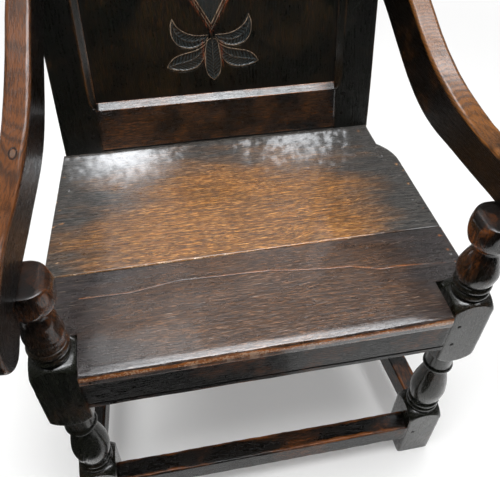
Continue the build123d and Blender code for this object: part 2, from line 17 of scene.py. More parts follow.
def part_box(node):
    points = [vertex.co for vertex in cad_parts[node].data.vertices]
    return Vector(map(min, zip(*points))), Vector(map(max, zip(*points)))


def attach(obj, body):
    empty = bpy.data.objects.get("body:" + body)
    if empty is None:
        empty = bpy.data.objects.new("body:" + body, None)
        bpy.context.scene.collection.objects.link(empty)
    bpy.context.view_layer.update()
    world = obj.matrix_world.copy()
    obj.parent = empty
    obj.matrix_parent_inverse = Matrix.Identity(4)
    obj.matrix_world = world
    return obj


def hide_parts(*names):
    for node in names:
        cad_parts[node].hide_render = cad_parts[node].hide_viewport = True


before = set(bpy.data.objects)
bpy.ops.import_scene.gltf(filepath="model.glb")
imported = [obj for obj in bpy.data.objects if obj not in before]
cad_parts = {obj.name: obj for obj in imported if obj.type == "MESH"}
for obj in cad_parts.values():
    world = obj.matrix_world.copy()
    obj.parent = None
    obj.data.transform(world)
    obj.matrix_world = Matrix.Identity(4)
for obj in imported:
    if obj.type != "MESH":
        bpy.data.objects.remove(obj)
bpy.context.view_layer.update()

# %% [markdown]
# ## Sizes and places
# Every place is read from the boxes of the solids, so the dressed pieces stay where the joints are. The
# script thinks in millimetres, and a mesh is scaled to metres when it is made. Only what a box can't tell
# is written here: the tenons, the posts' depth, the rake of the back, its bevels and its panel.

# %% Read the places
MM = 1000.0


def corners(node):
    """Lowest and highest corner of a solid, in millimetres."""
    low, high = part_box(node)
    return np.array(low) * MM, np.array(high) * MM


leg_low, leg_high = corners("front_leg_right")
post_low, post_high = corners("rear_post_right")
rail_low, rail_high = corners("front_seat_rail")
bar_low, bar_high = corners("front_stretcher")
back_bar_low, back_bar_high = corners("rear_stretcher")
back_seat_low, back_seat_high = corners("rear_seat_rail")
front_board_low, front_board_high = corners("seat_board_front")
rear_board_low, rear_board_high = corners("seat_board_rear")

LEG_TENON = 34.0                 # tenon on top of a front leg
POST_DEPTH = 48.0
RAKE = math.radians(11.25)       # the back leans behind the vertical
LOWER_RAIL_TOP = 89.0            # raked height of the lower back rail
PANEL_HEIGHT = 456.0
PANEL_RECESS = 12.5
BEVEL_WIDTH = 11.0
BEVEL_DEPTH = 10.0
BEVEL_STOP = 23.0
RAIL_GAP = 3.0                   # lower back rail above the seat
HANDS = ((1, "right"), (-1, "left"))   # each side's sign along x, and its name

leg_inner, leg_outer = leg_low[0], leg_high[0]
leg_face, leg_back = leg_low[1], leg_high[1]
leg_middle = ((leg_inner + leg_outer) / 2, (leg_face + leg_back) / 2)
leg_half = (leg_outer - leg_inner) / 2
arm_level = leg_high[2] - LEG_TENON
post_inner, post_outer = post_low[0], post_high[0]
post_face = post_low[1]
seat_top = front_board_high[2]
seat_under = front_board_low[2]
panel_top = LOWER_RAIL_TOP + PANEL_HEIGHT
post_length = (post_high[2] - seat_top) / math.cos(RAKE)
print("leg", leg_low, leg_high, "seat", seat_under, seat_top, "post", round(post_length, 1))

# %% [markdown]
# ## Noise and curves
# Hand work and wear are uneven in a smooth way. One lattice of random numbers, read between its points,
# gives lumps of any size, always the same ones for the same seed. Curves through a few points are drawn
# as smooth splines, and round stretches as arcs through three points.

# %% Noise, arcs and splines
NOISE_CELLS = 24


def lumps(points, size, seed):
    """Smooth noise from -1 to 1 at each point, with lumps of the given size."""
    points = np.asarray(points, float).reshape(-1, 3)
    table = np.random.default_rng(seed).uniform(-1, 1, (NOISE_CELLS,) * 3)
    scaled = points / size
    cell = np.floor(scaled).astype(int)
    part = scaled - cell
    part = part * part * (3 - 2 * part)
    total = np.zeros(len(points))
    for corner in itertools.product((0, 1), repeat=3):
        weight = np.prod(np.where(np.array(corner) == 1, part, 1 - part), axis=1)
        x, y, z = ((cell + corner) % NOISE_CELLS).T
        total += weight * table[x, y, z]
    return total


def lumps_over(u, v, size, seed):
    """The same noise over a flat lattice."""
    spots = np.stack([u.ravel(), v.ravel(), 0 * u.ravel()], 1)
    return lumps(spots, size, seed).reshape(u.shape)


def step(value, start, end):
    """A soft step from 0 at start to 1 at end."""
    share = np.clip((value - start) / (end - start), 0, 1)
    return share * share * (3 - 2 * share)


def arc(first, middle, last, count=9):
    """Points on the circle through three points."""
    (ax, ay), (bx, by), (cx, cy) = first, middle, last
    d = 2 * (ax * (by - cy) + bx * (cy - ay) + cx * (ay - by))
    squares = ax * ax + ay * ay, bx * bx + by * by, cx * cx + cy * cy
    ux = (squares[0] * (by - cy) + squares[1] * (cy - ay) + squares[2] * (ay - by)) / d
    uy = (squares[0] * (cx - bx) + squares[1] * (ax - cx) + squares[2] * (bx - ax)) / d
    radius = math.hypot(ax - ux, ay - uy)
    start, through, end = (math.atan2(y - uy, x - ux) for x, y in (first, middle, last))
    sweep = (end - start) % (2 * math.pi)
    if (through - start) % (2 * math.pi) > sweep:
        sweep -= 2 * math.pi
    angles = start + sweep * np.linspace(0, 1, count)
    return [(ux + radius * math.cos(a), uy + radius * math.sin(a)) for a in angles]


def spline(points, count=8):
    """A smooth line through points, with count steps from each to the next."""
    points = np.array(points, float)
    padded = np.vstack([2 * points[0] - points[1], points, 2 * points[-1] - points[-2]])
    share = np.linspace(0, 1, count, endpoint=False)[:, None]
    pieces = []
    for p0, p1, p2, p3 in zip(padded, padded[1:], padded[2:], padded[3:]):
        a, b = (p2 - p0) / 2, (p3 - p1) / 2
        pieces.append(p1 + a * share + (3 * (p2 - p1) - 2 * a - b) * share ** 2
                      + (2 * (p1 - p2) + a + b) * share ** 3)
    return np.vstack(pieces + [points[-1:]])


def even(points, count):
    """A line of points, made even."""
    run = np.concatenate([[0], np.cumsum(np.hypot(*np.diff(points, axis=0).T))])
    places = np.linspace(0, run[-1], count)
    return np.stack([np.interp(places, run, points[:, k]) for k in (0, 1)], 1)


def distance_to(u, v, line):
    """Distance from each place to a line of points."""
    best = np.full(np.shape(u), 1e9)
    for (x0, y0), (x1, y1) in zip(line, line[1:]):
        dx, dy = x1 - x0, y1 - y0
        share = np.clip(((u - x0) * dx + (v - y0) * dy) / max(dx * dx + dy * dy, 1e-9), 0, 1)
        best = np.minimum(best, np.hypot(u - x0 - share * dx, v - y0 - share * dy))
    return best


print("noise at a point:", lumps([(10, 20, 30)], 50, 1))

# %% [markdown]
# ## Shader maths
# A finish is a set of formulas: how light or dark, how rough, how deep. A small class wraps a socket, so
# that an expression such as `1 - mask * 0.5` adds the Math nodes by itself. Any other node comes from one
# method. Colours are written as they look on screen and turned into linear light.

# %% A socket that understands arithmetic
def arithmetic(operation, swapped=False):
    """A method that adds one Math node."""
    def method(self, other):
        pair = (other, self) if swapped else (self, other)
        return self.tree.maths(operation, *pair)
    return method


class Socket:
    """An output socket; arithmetic on it adds Math nodes to its tree."""

    def __init__(self, tree, socket):
        self.tree = tree
        self.socket = socket

    def beside(self, output):
        """Another output of the same node, by its name or number."""
        return Socket(self.tree, self.socket.node.outputs[output])

    __add__ = __radd__ = arithmetic("ADD")
    __mul__ = __rmul__ = arithmetic("MULTIPLY")
    __sub__ = arithmetic("SUBTRACT")
    __rsub__ = arithmetic("SUBTRACT", swapped=True)
    __truediv__ = arithmetic("DIVIDE")
    __rtruediv__ = arithmetic("DIVIDE", swapped=True)
    __pow__ = arithmetic("POWER")


class Tree:
    """A node tree, for a finish, a light or a shape."""

    def __init__(self, tree):
        self.tree = tree
        tree.nodes.clear()

    def node(self, kind, settings=None, inputs=None, out=0):
        """Any node: its type, its settings, then the values or links of its sockets."""
        made = self.tree.nodes.new(kind)
        for name, value in (settings or {}).items():
            setattr(made, name, value)
        for name, value in (inputs or {}).items():
            if isinstance(value, Socket):
                self.tree.links.new(value.socket, made.inputs[name])
            else:
                made.inputs[name].default_value = value
        return Socket(self, made.outputs[out]) if len(made.outputs) else made

    def maths(self, operation, *values):
        return self.node("ShaderNodeMath", {"operation": operation}, dict(enumerate(values)))

    def vector(self, operation, *values, out=0):
        return self.node("ShaderNodeVectorMath", {"operation": operation}, dict(enumerate(values)), out)

    def parts(self, vector):
        """The three parts of a vector."""
        first = self.node("ShaderNodeSeparateXYZ", None, {0: vector})
        return first, first.beside(1), first.beside(2)

    def stretch(self, vector, x, y, z):
        """A pattern's coordinates, scaled along each axis."""
        return self.vector("MULTIPLY", vector, (x, y, z))

    def distance(self, vector, middle, x, y, z):
        """Distance from a middle, scaled along each axis."""
        away = self.stretch(self.vector("SUBTRACT", vector, middle), x, y, z)
        return self.vector("LENGTH", away, out="Value")

    def attribute(self, name, out="Fac"):
        """One of the mesh's own attributes."""
        return self.node("ShaderNodeAttribute", {"attribute_name": name}, out=out)

    def noise(self, vector, scale=1.0, detail=2.0, roughness=0.5, distortion=0.0):
        return self.node("ShaderNodeTexNoise", {"noise_dimensions": "3D"},
                         {"Vector": vector, "Scale": scale, "Detail": detail, "Roughness": roughness,
                          "Distortion": distortion})

    def soft(self, value, start, end, low=0.0, high=1.0):
        """A smooth step of a value between start and end."""
        return self.node("ShaderNodeMapRange", {"interpolation_type": "SMOOTHSTEP"},
                         {"Value": value, "From Min": start, "From Max": end, "To Min": low, "To Max": high})

    def mix(self, share, first, second):
        """Two colours mixed by a share."""
        return self.node("ShaderNodeMix", {"data_type": "RGBA", "clamp_factor": True},
                         {0: share, 6: first, 7: second}, 2)


def tint(code):
    """A colour as it looks on screen, such as 6b4a2f, in linear light."""
    parts = [int(code[i:i + 2], 16) / 255 for i in (0, 2, 4)]
    return tuple(c / 12.92 if c <= 0.04045 else ((c + 0.055) / 1.055) ** 2.4 for c in parts) + (1.0,)


print("tint of a mid brown:", tint("6b4a2f"))

# %% [markdown]
# ## Old waxed oak
# Oak is coarse: each year's growth starts with a row of open pores, which hold dirt and wax and show as
# short dark dashes along the grain. Centuries of smoke, wax and handling make the surface nearly black
# where nobody touches it, and red-brown and shiny on the edges that hands and clothes rub. So the finish
# is built in layers: streaks and rings, pores, patina in large soft patches, worn edges from the mesh's
# own `wear` attribute, and a dark colour from another attribute that is partly dirt and partly painted
# shade in creases, grooves and joints. The pattern is carried by a `grain` attribute, which says where
# each point lies in its own plank, with the fibres along its third axis.

# %% The oak finish
RING_WIDTH = 0.0054              # one year's growth, in metres
ARM_RING_WIDTH = 0.0026          # the arms' tree grew slower
WAX_DULLNESS = 0.13
SMOOTHEST = 0.14                 # the wood under the wax is never smoother than this
# the colour of dirt and of painted shade in creases, grooves and joints
DIRT_AND_SHADE = "080606"
PLUG = (-0.3008, -0.0954, 0.6542)   # the plug in the left arm's top
PLUG_HALF = (0.0048, 0.0095)


def oak_layers(t, ring_width=RING_WIDTH, bend=0.03):
    """The masks that every oak finish shares, each from 0 to 1."""
    grain = t.attribute("grain", "Vector")
    place = t.node("ShaderNodeTexCoord", out="Object")
    wander = t.noise(t.stretch(grain, 14, 14, 4.0), detail=2)
    shift = t.node("ShaderNodeCombineXYZ", None, {0: wander - 0.5, 1: wander - 0.5, 2: 0.0})
    bent = t.vector("ADD", grain, t.stretch(shift, bend, bend, 0.0))
    radius = t.vector("LENGTH", t.stretch(bent, 1, 1, 0.03), out="Value")
    wave = t.maths("SINE", radius * (2 * math.pi / ring_width)) * 0.5 + 0.5
    ring = wave * wave
    dash = t.noise(t.stretch(bent, 900, 900, 62), detail=1, roughness=0.6)
    apart = t.vector("ADD", bent, (7.0, 3.0, 5.0))
    fleck = t.noise(t.stretch(apart, 860, 860, 70), detail=1, roughness=0.7)
    return {"place": place, "bent": bent, "ring": ring,
            "streak": t.noise(t.stretch(bent, 300, 300, 11), detail=3, roughness=0.65),
            "pores": t.soft(dash + (ring - 0.38) * 0.14, 0.48, 0.58),
            "fleck": t.soft(fleck, 0.52, 0.6),
            "patina": t.noise(place, 10.0, detail=5, roughness=0.66),
            "speck": t.noise(place, 330.0, detail=2),
            "wear": t.attribute("wear"), "hollow": t.attribute("hollow")}


def start_finish(name):
    """A new material and its empty tree."""
    material = bpy.data.materials.new(name)
    material.use_nodes = True
    return material, Tree(material.node_tree)


def end_finish(t, m, colour, dull, rubbed, relief, coat, shine=0.5):
    """The surface itself: colour and roughness vary, and the bump follows the grain."""
    rough = dull + (m["patina"] - 0.5) * 0.3 + (m["speck"] - 0.5) * 0.16 + (m["streak"] - 0.5) * 0.2
    rough = t.maths("MAXIMUM", rough - rubbed * 0.05 + m["pores"] * 0.1 + m["hollow"] * 0.2, SMOOTHEST)
    height = m["streak"] * 0.7 - m["pores"] * 0.6 + m["patina"] * 2.0 + m["speck"] * 0.3
    bump = t.node("ShaderNodeBump", None, {"Strength": 1.0, "Distance": relief, "Height": height})
    surface = t.node("ShaderNodeBsdfPrincipled", None,
                     {"Base Color": colour, "Roughness": rough, "Normal": bump, "Coat Weight": coat,
                      "Coat Roughness": WAX_DULLNESS, "Specular IOR Level": shine})
    t.node("ShaderNodeOutputMaterial", None, {"Surface": surface})


def oak_colours(t, m, deep, body, warm, worn, rub=1.0, patch=(0.42, 0.62), edge=None, flecks=0.6):
    """Colour from the layers: deep grain, body, warm patches, worn edges, pores, and dirt with painted shade
    in creases.
    """
    figure = m["streak"] * 0.75 + m["ring"] * 0.25
    colour = t.mix(t.soft(figure, 0.32, 0.68), tint(deep), tint(body))
    warmed = t.mix(m["fleck"] * flecks + figure * 0.3, tint(warm), tint(worn))
    colour = t.mix(t.soft(m["patina"], *patch), colour, warmed)
    rubbed = t.soft(m["wear"] * rub + (m["patina"] - 0.5) * 0.8 + (m["streak"] - 0.5) * 0.6, 0.3, 0.85)
    rings = m["ring"] * t.soft(m["patina"], 0.4, 0.6, 0.1, 0.45)
    colour = t.mix(rubbed, colour, t.mix(rings, tint(edge or worn), tint(warm)))
    colour = t.mix(m["pores"] * (0.75 - rubbed * 0.25), colour, tint("090706"))
    # dirt and painted shade: darker where the mesh marks creases, grooves and joints
    colour = t.mix(t.soft(m["hollow"] + (m["speck"] - 0.5) * 0.4, 0.2, 0.9) * 0.92, colour, tint(DIRT_AND_SHADE))
    return colour, rubbed


def oak(name, deep, body, warm, worn, dull, coat, patch=(0.42, 0.62), shine=0.5):
    """Old oak in one finish all over."""
    material, t = start_finish(name)
    m = oak_layers(t)
    colour, rubbed = oak_colours(t, m, deep, body, warm, worn, patch=patch)
    end_finish(t, m, colour, dull, rubbed, 0.0003, coat, shine)
    return material


def arm_finish(name, worn, plug=None):
    """Brown where hands lie, dark on the sides. A plug is an oval of end grain let into the top."""
    material, t = start_finish(name)
    m = oak_layers(t, ring_width=ARM_RING_WIDTH, bend=0.009)
    colour, rubbed = oak_colours(t, m, "0b0907", "14100b", "241910", worn, rub=1.1, patch=(0.5, 0.7),
                                 flecks=0.3)
    if plug:
        far = t.distance(m["place"], plug, 1 / PLUG_HALF[0], 1 / PLUG_HALF[1], 30.0)
        colour = t.mix(t.soft(far, 0.8, 0.6) * 0.18, colour, tint("9a8676"))
        colour = t.mix(t.soft(far, 0.7, 0.9) * t.soft(far, 1.25, 1.05) * 0.85, colour, tint(DIRT_AND_SHADE))
    wax = (rubbed * 0.75 + 0.15) * t.soft(m["patina"], 0.36, 0.6, 0.35, 1.0)
    end_finish(t, m, colour, 0.24, rubbed, 0.0004, wax, 0.22)
    return material


def leg_finish(name):
    """Almost black below the seat, browner above it, where hands and sleeves pass."""
    material, t = start_finish(name)
    m = oak_layers(t)
    black, rubbed = oak_colours(t, m, "11130d", "22241a", "241f16", "4a2c17", patch=(0.5, 0.68), flecks=0.3)
    brown, _ = oak_colours(t, m, "0d0906", "18110c", "2a1a11", "80481f", rub=1.15, patch=(0.48, 0.68),
                           flecks=0.3)
    height = t.parts(m["place"])[2]
    colour = t.mix(t.soft(height, 0.44, 0.54), black, brown)
    end_finish(t, m, colour, 0.22, rubbed, 0.00025, 0.6, 0.22)
    return material


def panel_finish(name):
    """The panel: almost black, pale worn lines, grey-blue dust and painted reflection in the cuts, red
    rubbing beside them.
    """
    material, t = start_finish(name)
    m = oak_layers(t)
    colour, rubbed = oak_colours(t, m, "060705", "0c130b", "161709", "3c2410", edge="93816e")
    # grey-blue in the cuts: dust, and a painted reflection
    colour = t.mix(t.attribute("cut") * (0.05 + m["speck"] * 0.9), colour, tint("454f52"))
    red = t.attribute("red") * t.soft(m["streak"] + (m["speck"] - 0.5) * 0.5, 0.4, 0.62)
    colour = t.mix(red, colour, tint("6b3216"))
    end_finish(t, m, colour, 0.3, rubbed, 0.0003, 0.3)
    return material


finishes = {
    "frame_oak": oak("frame_oak_waxed", "080706", "110e0a", "1c120b", "80491f", dull=0.28, coat=0.15,
                     patch=(0.5, 0.66), shine=0.26),
    "back_oak": oak("back_oak_waxed", "060605", "120e0a", "2e1c0d", "744620", dull=0.28, coat=0.6),
    "post_oak": oak("post_oak_waxed", "090a07", "11150e", "17150c", "4f3216", dull=0.28, coat=0.55,
                    patch=(0.56, 0.74)),
    "leg_oak": leg_finish("leg_oak_waxed"),
    "panel_oak": panel_finish("panel_oak_waxed"),
    "arm_oak_right": arm_finish("arm_oak_right", "71461f"),
    "arm_oak_left": arm_finish("arm_oak_left", "5d361a", plug=PLUG),
    "peg_oak": oak("peg_oak_dry", "040303", "080605", "0c0907", "2a1d14", dull=0.6, coat=0.0, shine=0.15),
}

# %% [markdown]
# ## The seat's finish
# The seat has its own colours. People have polished the middle of the rear board to a golden brown, while
# its far corners, which nobody sits on, are grey: partly a bloom of old wax and dust, partly a painted
# sheen. The front board is darker and redder, scratched by buttons and buckles. The place on the chair
# chooses between these.

# %% Seat finishes
def seat_finish(name, golden, border, deep, middle, size, dull, worn, chip_and_glint_share):
    """Oak that is golden round a middle place and darker towards the border, all in metres."""
    material, t = start_finish(name)
    m = oak_layers(t)
    spread = t.distance(m["place"], (*middle, 0.0), 1 / size[0], 1 / size[1], 0.0)
    cloud = t.noise(t.stretch(m["place"], 4.5, 13, 0), detail=3, roughness=0.6)
    far = t.soft(spread + (cloud - 0.5) * 1.5 + (m["streak"] - 0.5) * 0.6, 0.55, 1.25)
    figure = t.soft(m["streak"] * 0.55 + m["ring"] * 0.5 + (cloud - 0.5) * 0.5, 0.3, 0.72)
    # the border shades are greyed: a bloom of old wax and dust, and a painted sheen
    shades = [t.mix(m["fleck"] * flecks, t.mix(figure, tint(low), tint(high)), tint(pale))
              for flecks, (low, high, pale) in ((0.8, golden), (0.6, border))]
    colour = t.mix(far, *shades)
    rows = t.soft(t.noise(t.stretch(m["bent"], 330, 330, 9), detail=1, roughness=0.6), 0.46, 0.58)
    colour = t.mix(m["pores"] * (0.62 - far * 0.2), colour, tint(deep))
    colour = t.mix(rows * (0.5 - far * 0.15), colour, tint(deep))
    rubbed = t.soft(m["wear"] * 1.1 + (m["patina"] - 0.5) * 0.8 + (m["streak"] - 0.5) * 0.7, 0.35, 0.85)
    colour = t.mix(rubbed * (0.9 - m["pores"] * 0.4), colour, tint(worn))
    # pale chipped wood on worn edges, and painted glints, strongest along the rear board's edge at the joint
    chips_and_glints = t.soft(m["wear"] + (m["speck"] - 0.5) * 1.3 + (m["patina"] - 0.5) * 1.2, 0.68, 0.88)
    colour = t.mix(chips_and_glints * chip_and_glint_share, colour, tint("e2c9a8"))
    fine = t.noise(t.stretch(m["place"], 40, 600, 0), detail=2, distortion=0.5)
    marks = t.soft(fine, 0.64, 0.7) * t.soft(m["patina"], 0.45, 0.6)
    colour = t.mix(marks * 0.4, colour, tint("b8a08c"))
    # dirt and painted shade, in the split and at the joint of the boards
    colour = t.mix(t.soft(m["hollow"], 0.2, 0.8) * 0.92, colour, tint(DIRT_AND_SHADE))
    end_finish(t, m, colour, dull, rubbed, 0.0007, 1.0)
    return material


# the grey border colours carry a painted sheen besides the bloom
finishes["seat_rear"] = seat_finish(
    "seat_oak_rear", ("6e4418", "a3682e", "cf9450"), ("1a1a19", "3b3b39", "66625c"), "241a13",
    (-0.01, -0.045), (0.255, 0.175), 0.32, "b98450", 0.9)
finishes["seat_front"] = seat_finish(
    "seat_oak_front", ("3a2616", "553a24", "744f32"), ("161110", "272020", "3c332f"), "170f0c",
    (0.0, -0.2), (0.25, 0.11), 0.3, "99571f", 0.25)
print("finishes:", sorted(finishes))

# %% [markdown]
# ## From a lattice to a plank
# Rails, posts, boards and the panel are all planks: a front and a back surface over one lattice, closed by
# walls round its border. A surface drops away near an arris, so the edge is rounded as far as the wood is
# worn there, and the lattice has extra lines where that happens. The distance to the nearest arris becomes
# the `wear` attribute. The plank is worked out lying flat and is then put in its place by a function.

# %% The plank builder
EDGE_STEPS = (0.35, 0.9, 1.7, 2.8, 4.4, 6.6, 9.5)


def lines(low, high, pitch, *marks, reach=EDGE_STEPS):
    """Places of lattice lines: even ones, and close ones by both ends and by each mark."""
    places = list(np.linspace(low, high, max(2, int(round((high - low) / pitch)) + 1)))
    for end, side in ((low, 1), (high, -1)):
        places += [end + side * r for r in reach]
    for mark in marks:
        places += [mark] + [mark + side * r for r in reach[:5] for side in (-1, 1)]
    places = sorted(p for p in places if low <= p <= high)
    kept = [low]
    for p in places:
        if p - kept[-1] > 0.3:
            kept.append(p)
    kept[-1] = high
    return np.array(kept)


def rounded(gap, radius):
    """How far a surface drops at a distance from an arris of a given radius."""
    inside = np.clip(radius - gap, 0, radius)
    return radius - np.sqrt(np.maximum(radius * radius - inside * inside, 0))


def slab(u, v, front, back, gap, keep=None, layers=4):
    """A closed plank: its points (across, along, depth), faces and distances to the nearest arris."""
    rows, columns = u.shape
    keep = np.ones((rows - 1, columns - 1), bool) if keep is None else keep
    number = np.arange(rows * columns).reshape(rows, columns)
    count = rows * columns
    a, b = number[:-1, :-1][keep], number[1:, :-1][keep]
    c, d = number[1:, 1:][keep], number[:-1, 1:][keep]
    faces = [np.stack([a, b, c, d], 1), np.stack([d, c, b, a], 1) + count]
    ring = np.pad(keep, 1)
    sides = [(a, b, ring[1:-1, :-2]), (b, c, ring[2:, 1:-1]), (c, d, ring[1:-1, 2:]), (d, a, ring[:-2, 1:-1])]
    first = np.concatenate([p[~other[keep]] for p, _, other in sides])
    second = np.concatenate([q[~other[keep]] for _, q, other in sides])
    border = np.unique(np.concatenate([first, second]))
    ladder = np.zeros((layers + 1, count), int)
    ladder[0], ladder[layers] = np.arange(count), np.arange(count) + count
    flat = [x.ravel() for x in (u, v, front, back, gap)]
    points = [np.stack([flat[0], flat[1], flat[2]], 1), np.stack([flat[0], flat[1], flat[3]], 1)]
    gaps = [flat[4], flat[4]]
    for level in range(1, layers):
        share = 0.5 - 0.5 * math.cos(math.pi * level / layers)
        ladder[level, border] = 2 * count + (level - 1) * len(border) + np.arange(len(border))
        deep = flat[2][border] * (1 - share) + flat[3][border] * share
        points.append(np.stack([flat[0][border], flat[1][border], deep], 1))
        gaps.append(np.minimum(deep - flat[2][border], flat[3][border] - deep))
    for level in range(layers):
        upper, lower = ladder[level], ladder[level + 1]
        faces.append(np.stack([upper[second], upper[first], lower[first], lower[second]], 1))
    points, gaps, faces = np.vstack(points), np.concatenate(gaps), np.vstack(faces)
    used, faces = np.unique(faces, return_inverse=True)
    return points[used], faces.reshape(-1, 4), gaps[used]


def coarse_back(rows, columns, pitch):
    """Faces of a plank's back over every few cells, still joined to each point of its border."""
    number = np.arange(rows * columns).reshape(rows, columns) + rows * columns
    cuts = [sorted({*range(0, size - 1, pitch), size - 1}) for size in (rows, columns)]
    faces = []
    for r0, r1 in itertools.pairwise(cuts[0]):
        for c0, c1 in itertools.pairwise(cuts[1]):
            near = number[r0, c0:c1] if r0 == 0 else number[r0, [c0]]
            right = number[r0:r1, c1] if c1 == columns - 1 else number[[r0], c1]
            far = number[r1, c1:c0:-1] if r1 == rows - 1 else number[r1, [c1]]
            left = number[r1:r0:-1, c0] if c0 == 0 else number[[r1], c0]
            faces.append([*near, *right, *far, *left])
    return faces


def along_grain(points, axis, seed):
    """Each point's place in its own plank, in metres, with the fibres along the third axis."""
    order = {"u": (2, 1, 0), "v": (0, 2, 1), "z": (0, 1, 2)}[axis]
    shift = np.random.default_rng(seed).uniform((-60, 50, 0), (60, 170, 3000))
    return (points[:, order] + shift) / MM


def set_attributes(mesh, attributes):
    """Numbers or vectors, one for each point of a mesh."""
    for label, values in attributes.items():
        values = np.asarray(values, np.float32)
        kind, field = ("FLOAT_VECTOR", "vector") if values.ndim == 2 else ("FLOAT", "value")
        mesh.attributes.new(label, kind, "POINT").data.foreach_set(field, values.ravel())


def add_object(name, data):
    """A new object in the scene, at the origin."""
    made = bpy.data.objects.new(name, data)
    bpy.context.scene.collection.objects.link(made)
    return made


def make_mesh(name, points, faces, attributes):
    """A smooth, closed mesh in metres, its faces outwards, with its attributes."""
    mesh = bpy.data.meshes.new(name)
    mesh.from_pydata((np.asarray(points) / MM).tolist(), [], [list(map(int, face)) for face in faces])
    set_attributes(mesh, attributes)
    work = bmesh.new()
    work.from_mesh(mesh)
    bmesh.ops.delete(work, geom=[v for v in work.verts if not v.link_faces], context="VERTS")
    bmesh.ops.remove_doubles(work, verts=work.verts, dist=1e-6)
    bmesh.ops.recalc_face_normals(work, faces=work.faces)
    work.to_mesh(mesh)
    work.free()
    mesh.shade_smooth()
    return mesh


def dress(name, mesh, nodes, slot, finish=None):
    """A finished piece: it rides on the chair and stands for its solids."""
    made = add_object(name, mesh)
    mesh.materials.clear()
    mesh.materials.append(finishes[finish or slot])
    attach(made, "root")
    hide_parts(*nodes)
    print(name, len(mesh.vertices), "points", len(mesh.polygons), "faces")
    return made


def worn(gap, points, seed, width=5.0):
    """How rubbed the wood is, from 0 to 1, by the distance to an arris, in patches."""
    patches = 0.62 + 0.5 * lumps(points, 70, seed) + 0.2 * lumps(points, 14, seed + 1)
    return np.clip(np.exp(-np.asarray(gap) / width) * patches, 0, 1)


def plank_piece(name, node, slot, u, v, front, back, gap, place, grain, seed, keep=None, layers=4,
                extra=None, finish=None, coarse=None):
    """A plank from its lattice to the finished piece. A coarse one has a back of larger faces."""
    points, faces, gaps = slab(u, v, front, back, gap, keep, layers)
    if coarse:
        cells = (u.shape[0] - 1) * (u.shape[1] - 1)
        faces = [*faces[:cells], *faces[2 * cells:], *coarse_back(*u.shape, coarse)]
    uneven = 0.25 * lumps(points, 60, seed + 2) + 0.1 * lumps(points, 17, seed + 3)
    points[:, 2] += uneven
    world = place(points)
    attributes = {"wear": worn(gaps, world, seed), "grain": along_grain(points, grain, seed),
                  "hollow": np.zeros(len(points))}
    if extra:
        attributes = extra(points, attributes)
    return dress(name, make_mesh(name, world, faces, attributes), [node], slot, finish)


# %% [markdown]
# ## Rails and stretchers
# They are sawn and planed bars. The front rail has a line scratched along its lower edge. A side rail
# follows the splay of the seat. Their ends run a little into the legs, as the shoulders do on the real
# chair, and their long arrises are worn round, most of all on the front stretcher, where feet rest.

# %% Rails and stretchers
INTO_JOINT = 1.0                 # a shoulder is bedded this far
FRONT_RAIL_REACH = 5.0           # the front rail's left shoulder lies further out, where the leg leans
BEAD_LINE = (9.0, 2.4, 1.6)      # height above the lower edge, width, depth
BAR_PITCH = 4.0


def bar(node, start, end, levels, thickness, place, seed, radius=2.0, line=None):
    """A bar with rounded long arrises, from start to end, between two levels."""
    foot, head = levels
    marks = []
    if line:
        rise, width, depth = line
        marks = [foot + rise, foot + rise + width]
        scratch = foot + rise + width / 2
    u, v = np.meshgrid(lines(start, end, BAR_PITCH, reach=()), lines(foot, head, BAR_PITCH, *marks),
                       indexing="ij")
    gap = np.minimum(v - foot, head - v)
    uneven = 1 + 0.45 * lumps_over(u, v, 35, seed) + 0.3 * lumps_over(u, v, 9, seed + 5)
    front = rounded(gap, radius * np.clip(uneven, 0.35, 2))
    back = thickness - front
    if line:
        front = front + depth * np.exp(-((v - scratch) / (width * 0.45)) ** 2)

    def extra(points, attributes):
        if line:
            # the scratched line is darkened: dirt and painted shade in its groove
            close = np.exp(-((points[:, 1] - scratch) / 1.6) ** 2)
            attributes["hollow"] = close * (points[:, 2] < thickness / 2)
        return attributes

    return plank_piece(node + "_worn", node, "frame_oak", u, v, front, back, gap, place, "u", seed,
                       extra=extra)


def across(y0):
    """A bar across the chair, its front face at y0."""
    return lambda p: np.stack([p[:, 0], y0 + p[:, 2], p[:, 1]], 1)


def down_side(side):
    """A bar along one side of the chair, its outer face on the line from leg to post."""
    def place(p):
        share = (p[:, 0] - leg_back) / (post_face - leg_back)
        outer = leg_outer + (post_outer - leg_outer) * share
        return np.stack([side * (outer - p[:, 2]), p[:, 0], p[:, 1]], 1)
    return place


rail_levels = (rail_low[2], rail_high[2])
bar_levels = (bar_low[2], bar_high[2])
rail_depth = rail_high[1] - rail_low[1]
bar_depth = bar_high[1] - bar_low[1]
inner = leg_inner + INTO_JOINT
bar("front_seat_rail", -inner - FRONT_RAIL_REACH, inner, rail_levels, rail_depth, across(rail_low[1]), 11,
    radius=1.6, line=BEAD_LINE)
bar("front_stretcher", -inner, inner, bar_levels, bar_depth, across(bar_low[1]), 12, radius=3.2)
inner = post_inner + INTO_JOINT
bar("rear_seat_rail", -inner, inner, rail_levels, back_seat_high[1] - back_seat_low[1],
    across(back_seat_low[1]), 13)
bar("rear_stretcher", -inner, inner, bar_levels, back_bar_high[1] - back_bar_low[1],
    across(back_bar_low[1]), 14)
ends = (leg_back - INTO_JOINT, post_face + INTO_JOINT)
for side, hand in HANDS:
    bar(f"side_seat_rail_{hand}", *ends, rail_levels, rail_depth, down_side(side), 15 + side)
    bar(f"side_stretcher_{hand}", *ends, bar_levels, bar_depth, down_side(side), 18 + side, radius=2.6)

# %% [markdown]
# ## Rear posts
# One post is a leg below the seat and a stile of the back above it, and it leans back from the seat up.
# The plank is worked out straight. Its rows are then closed up towards a mitre at the bend, so that the
# front and back faces turn there without folding. The bevel on its inner edge dies out in a curved stop.

# %% Rear posts
POST_ARRIS = 1.8                 # radius of a post's arrises


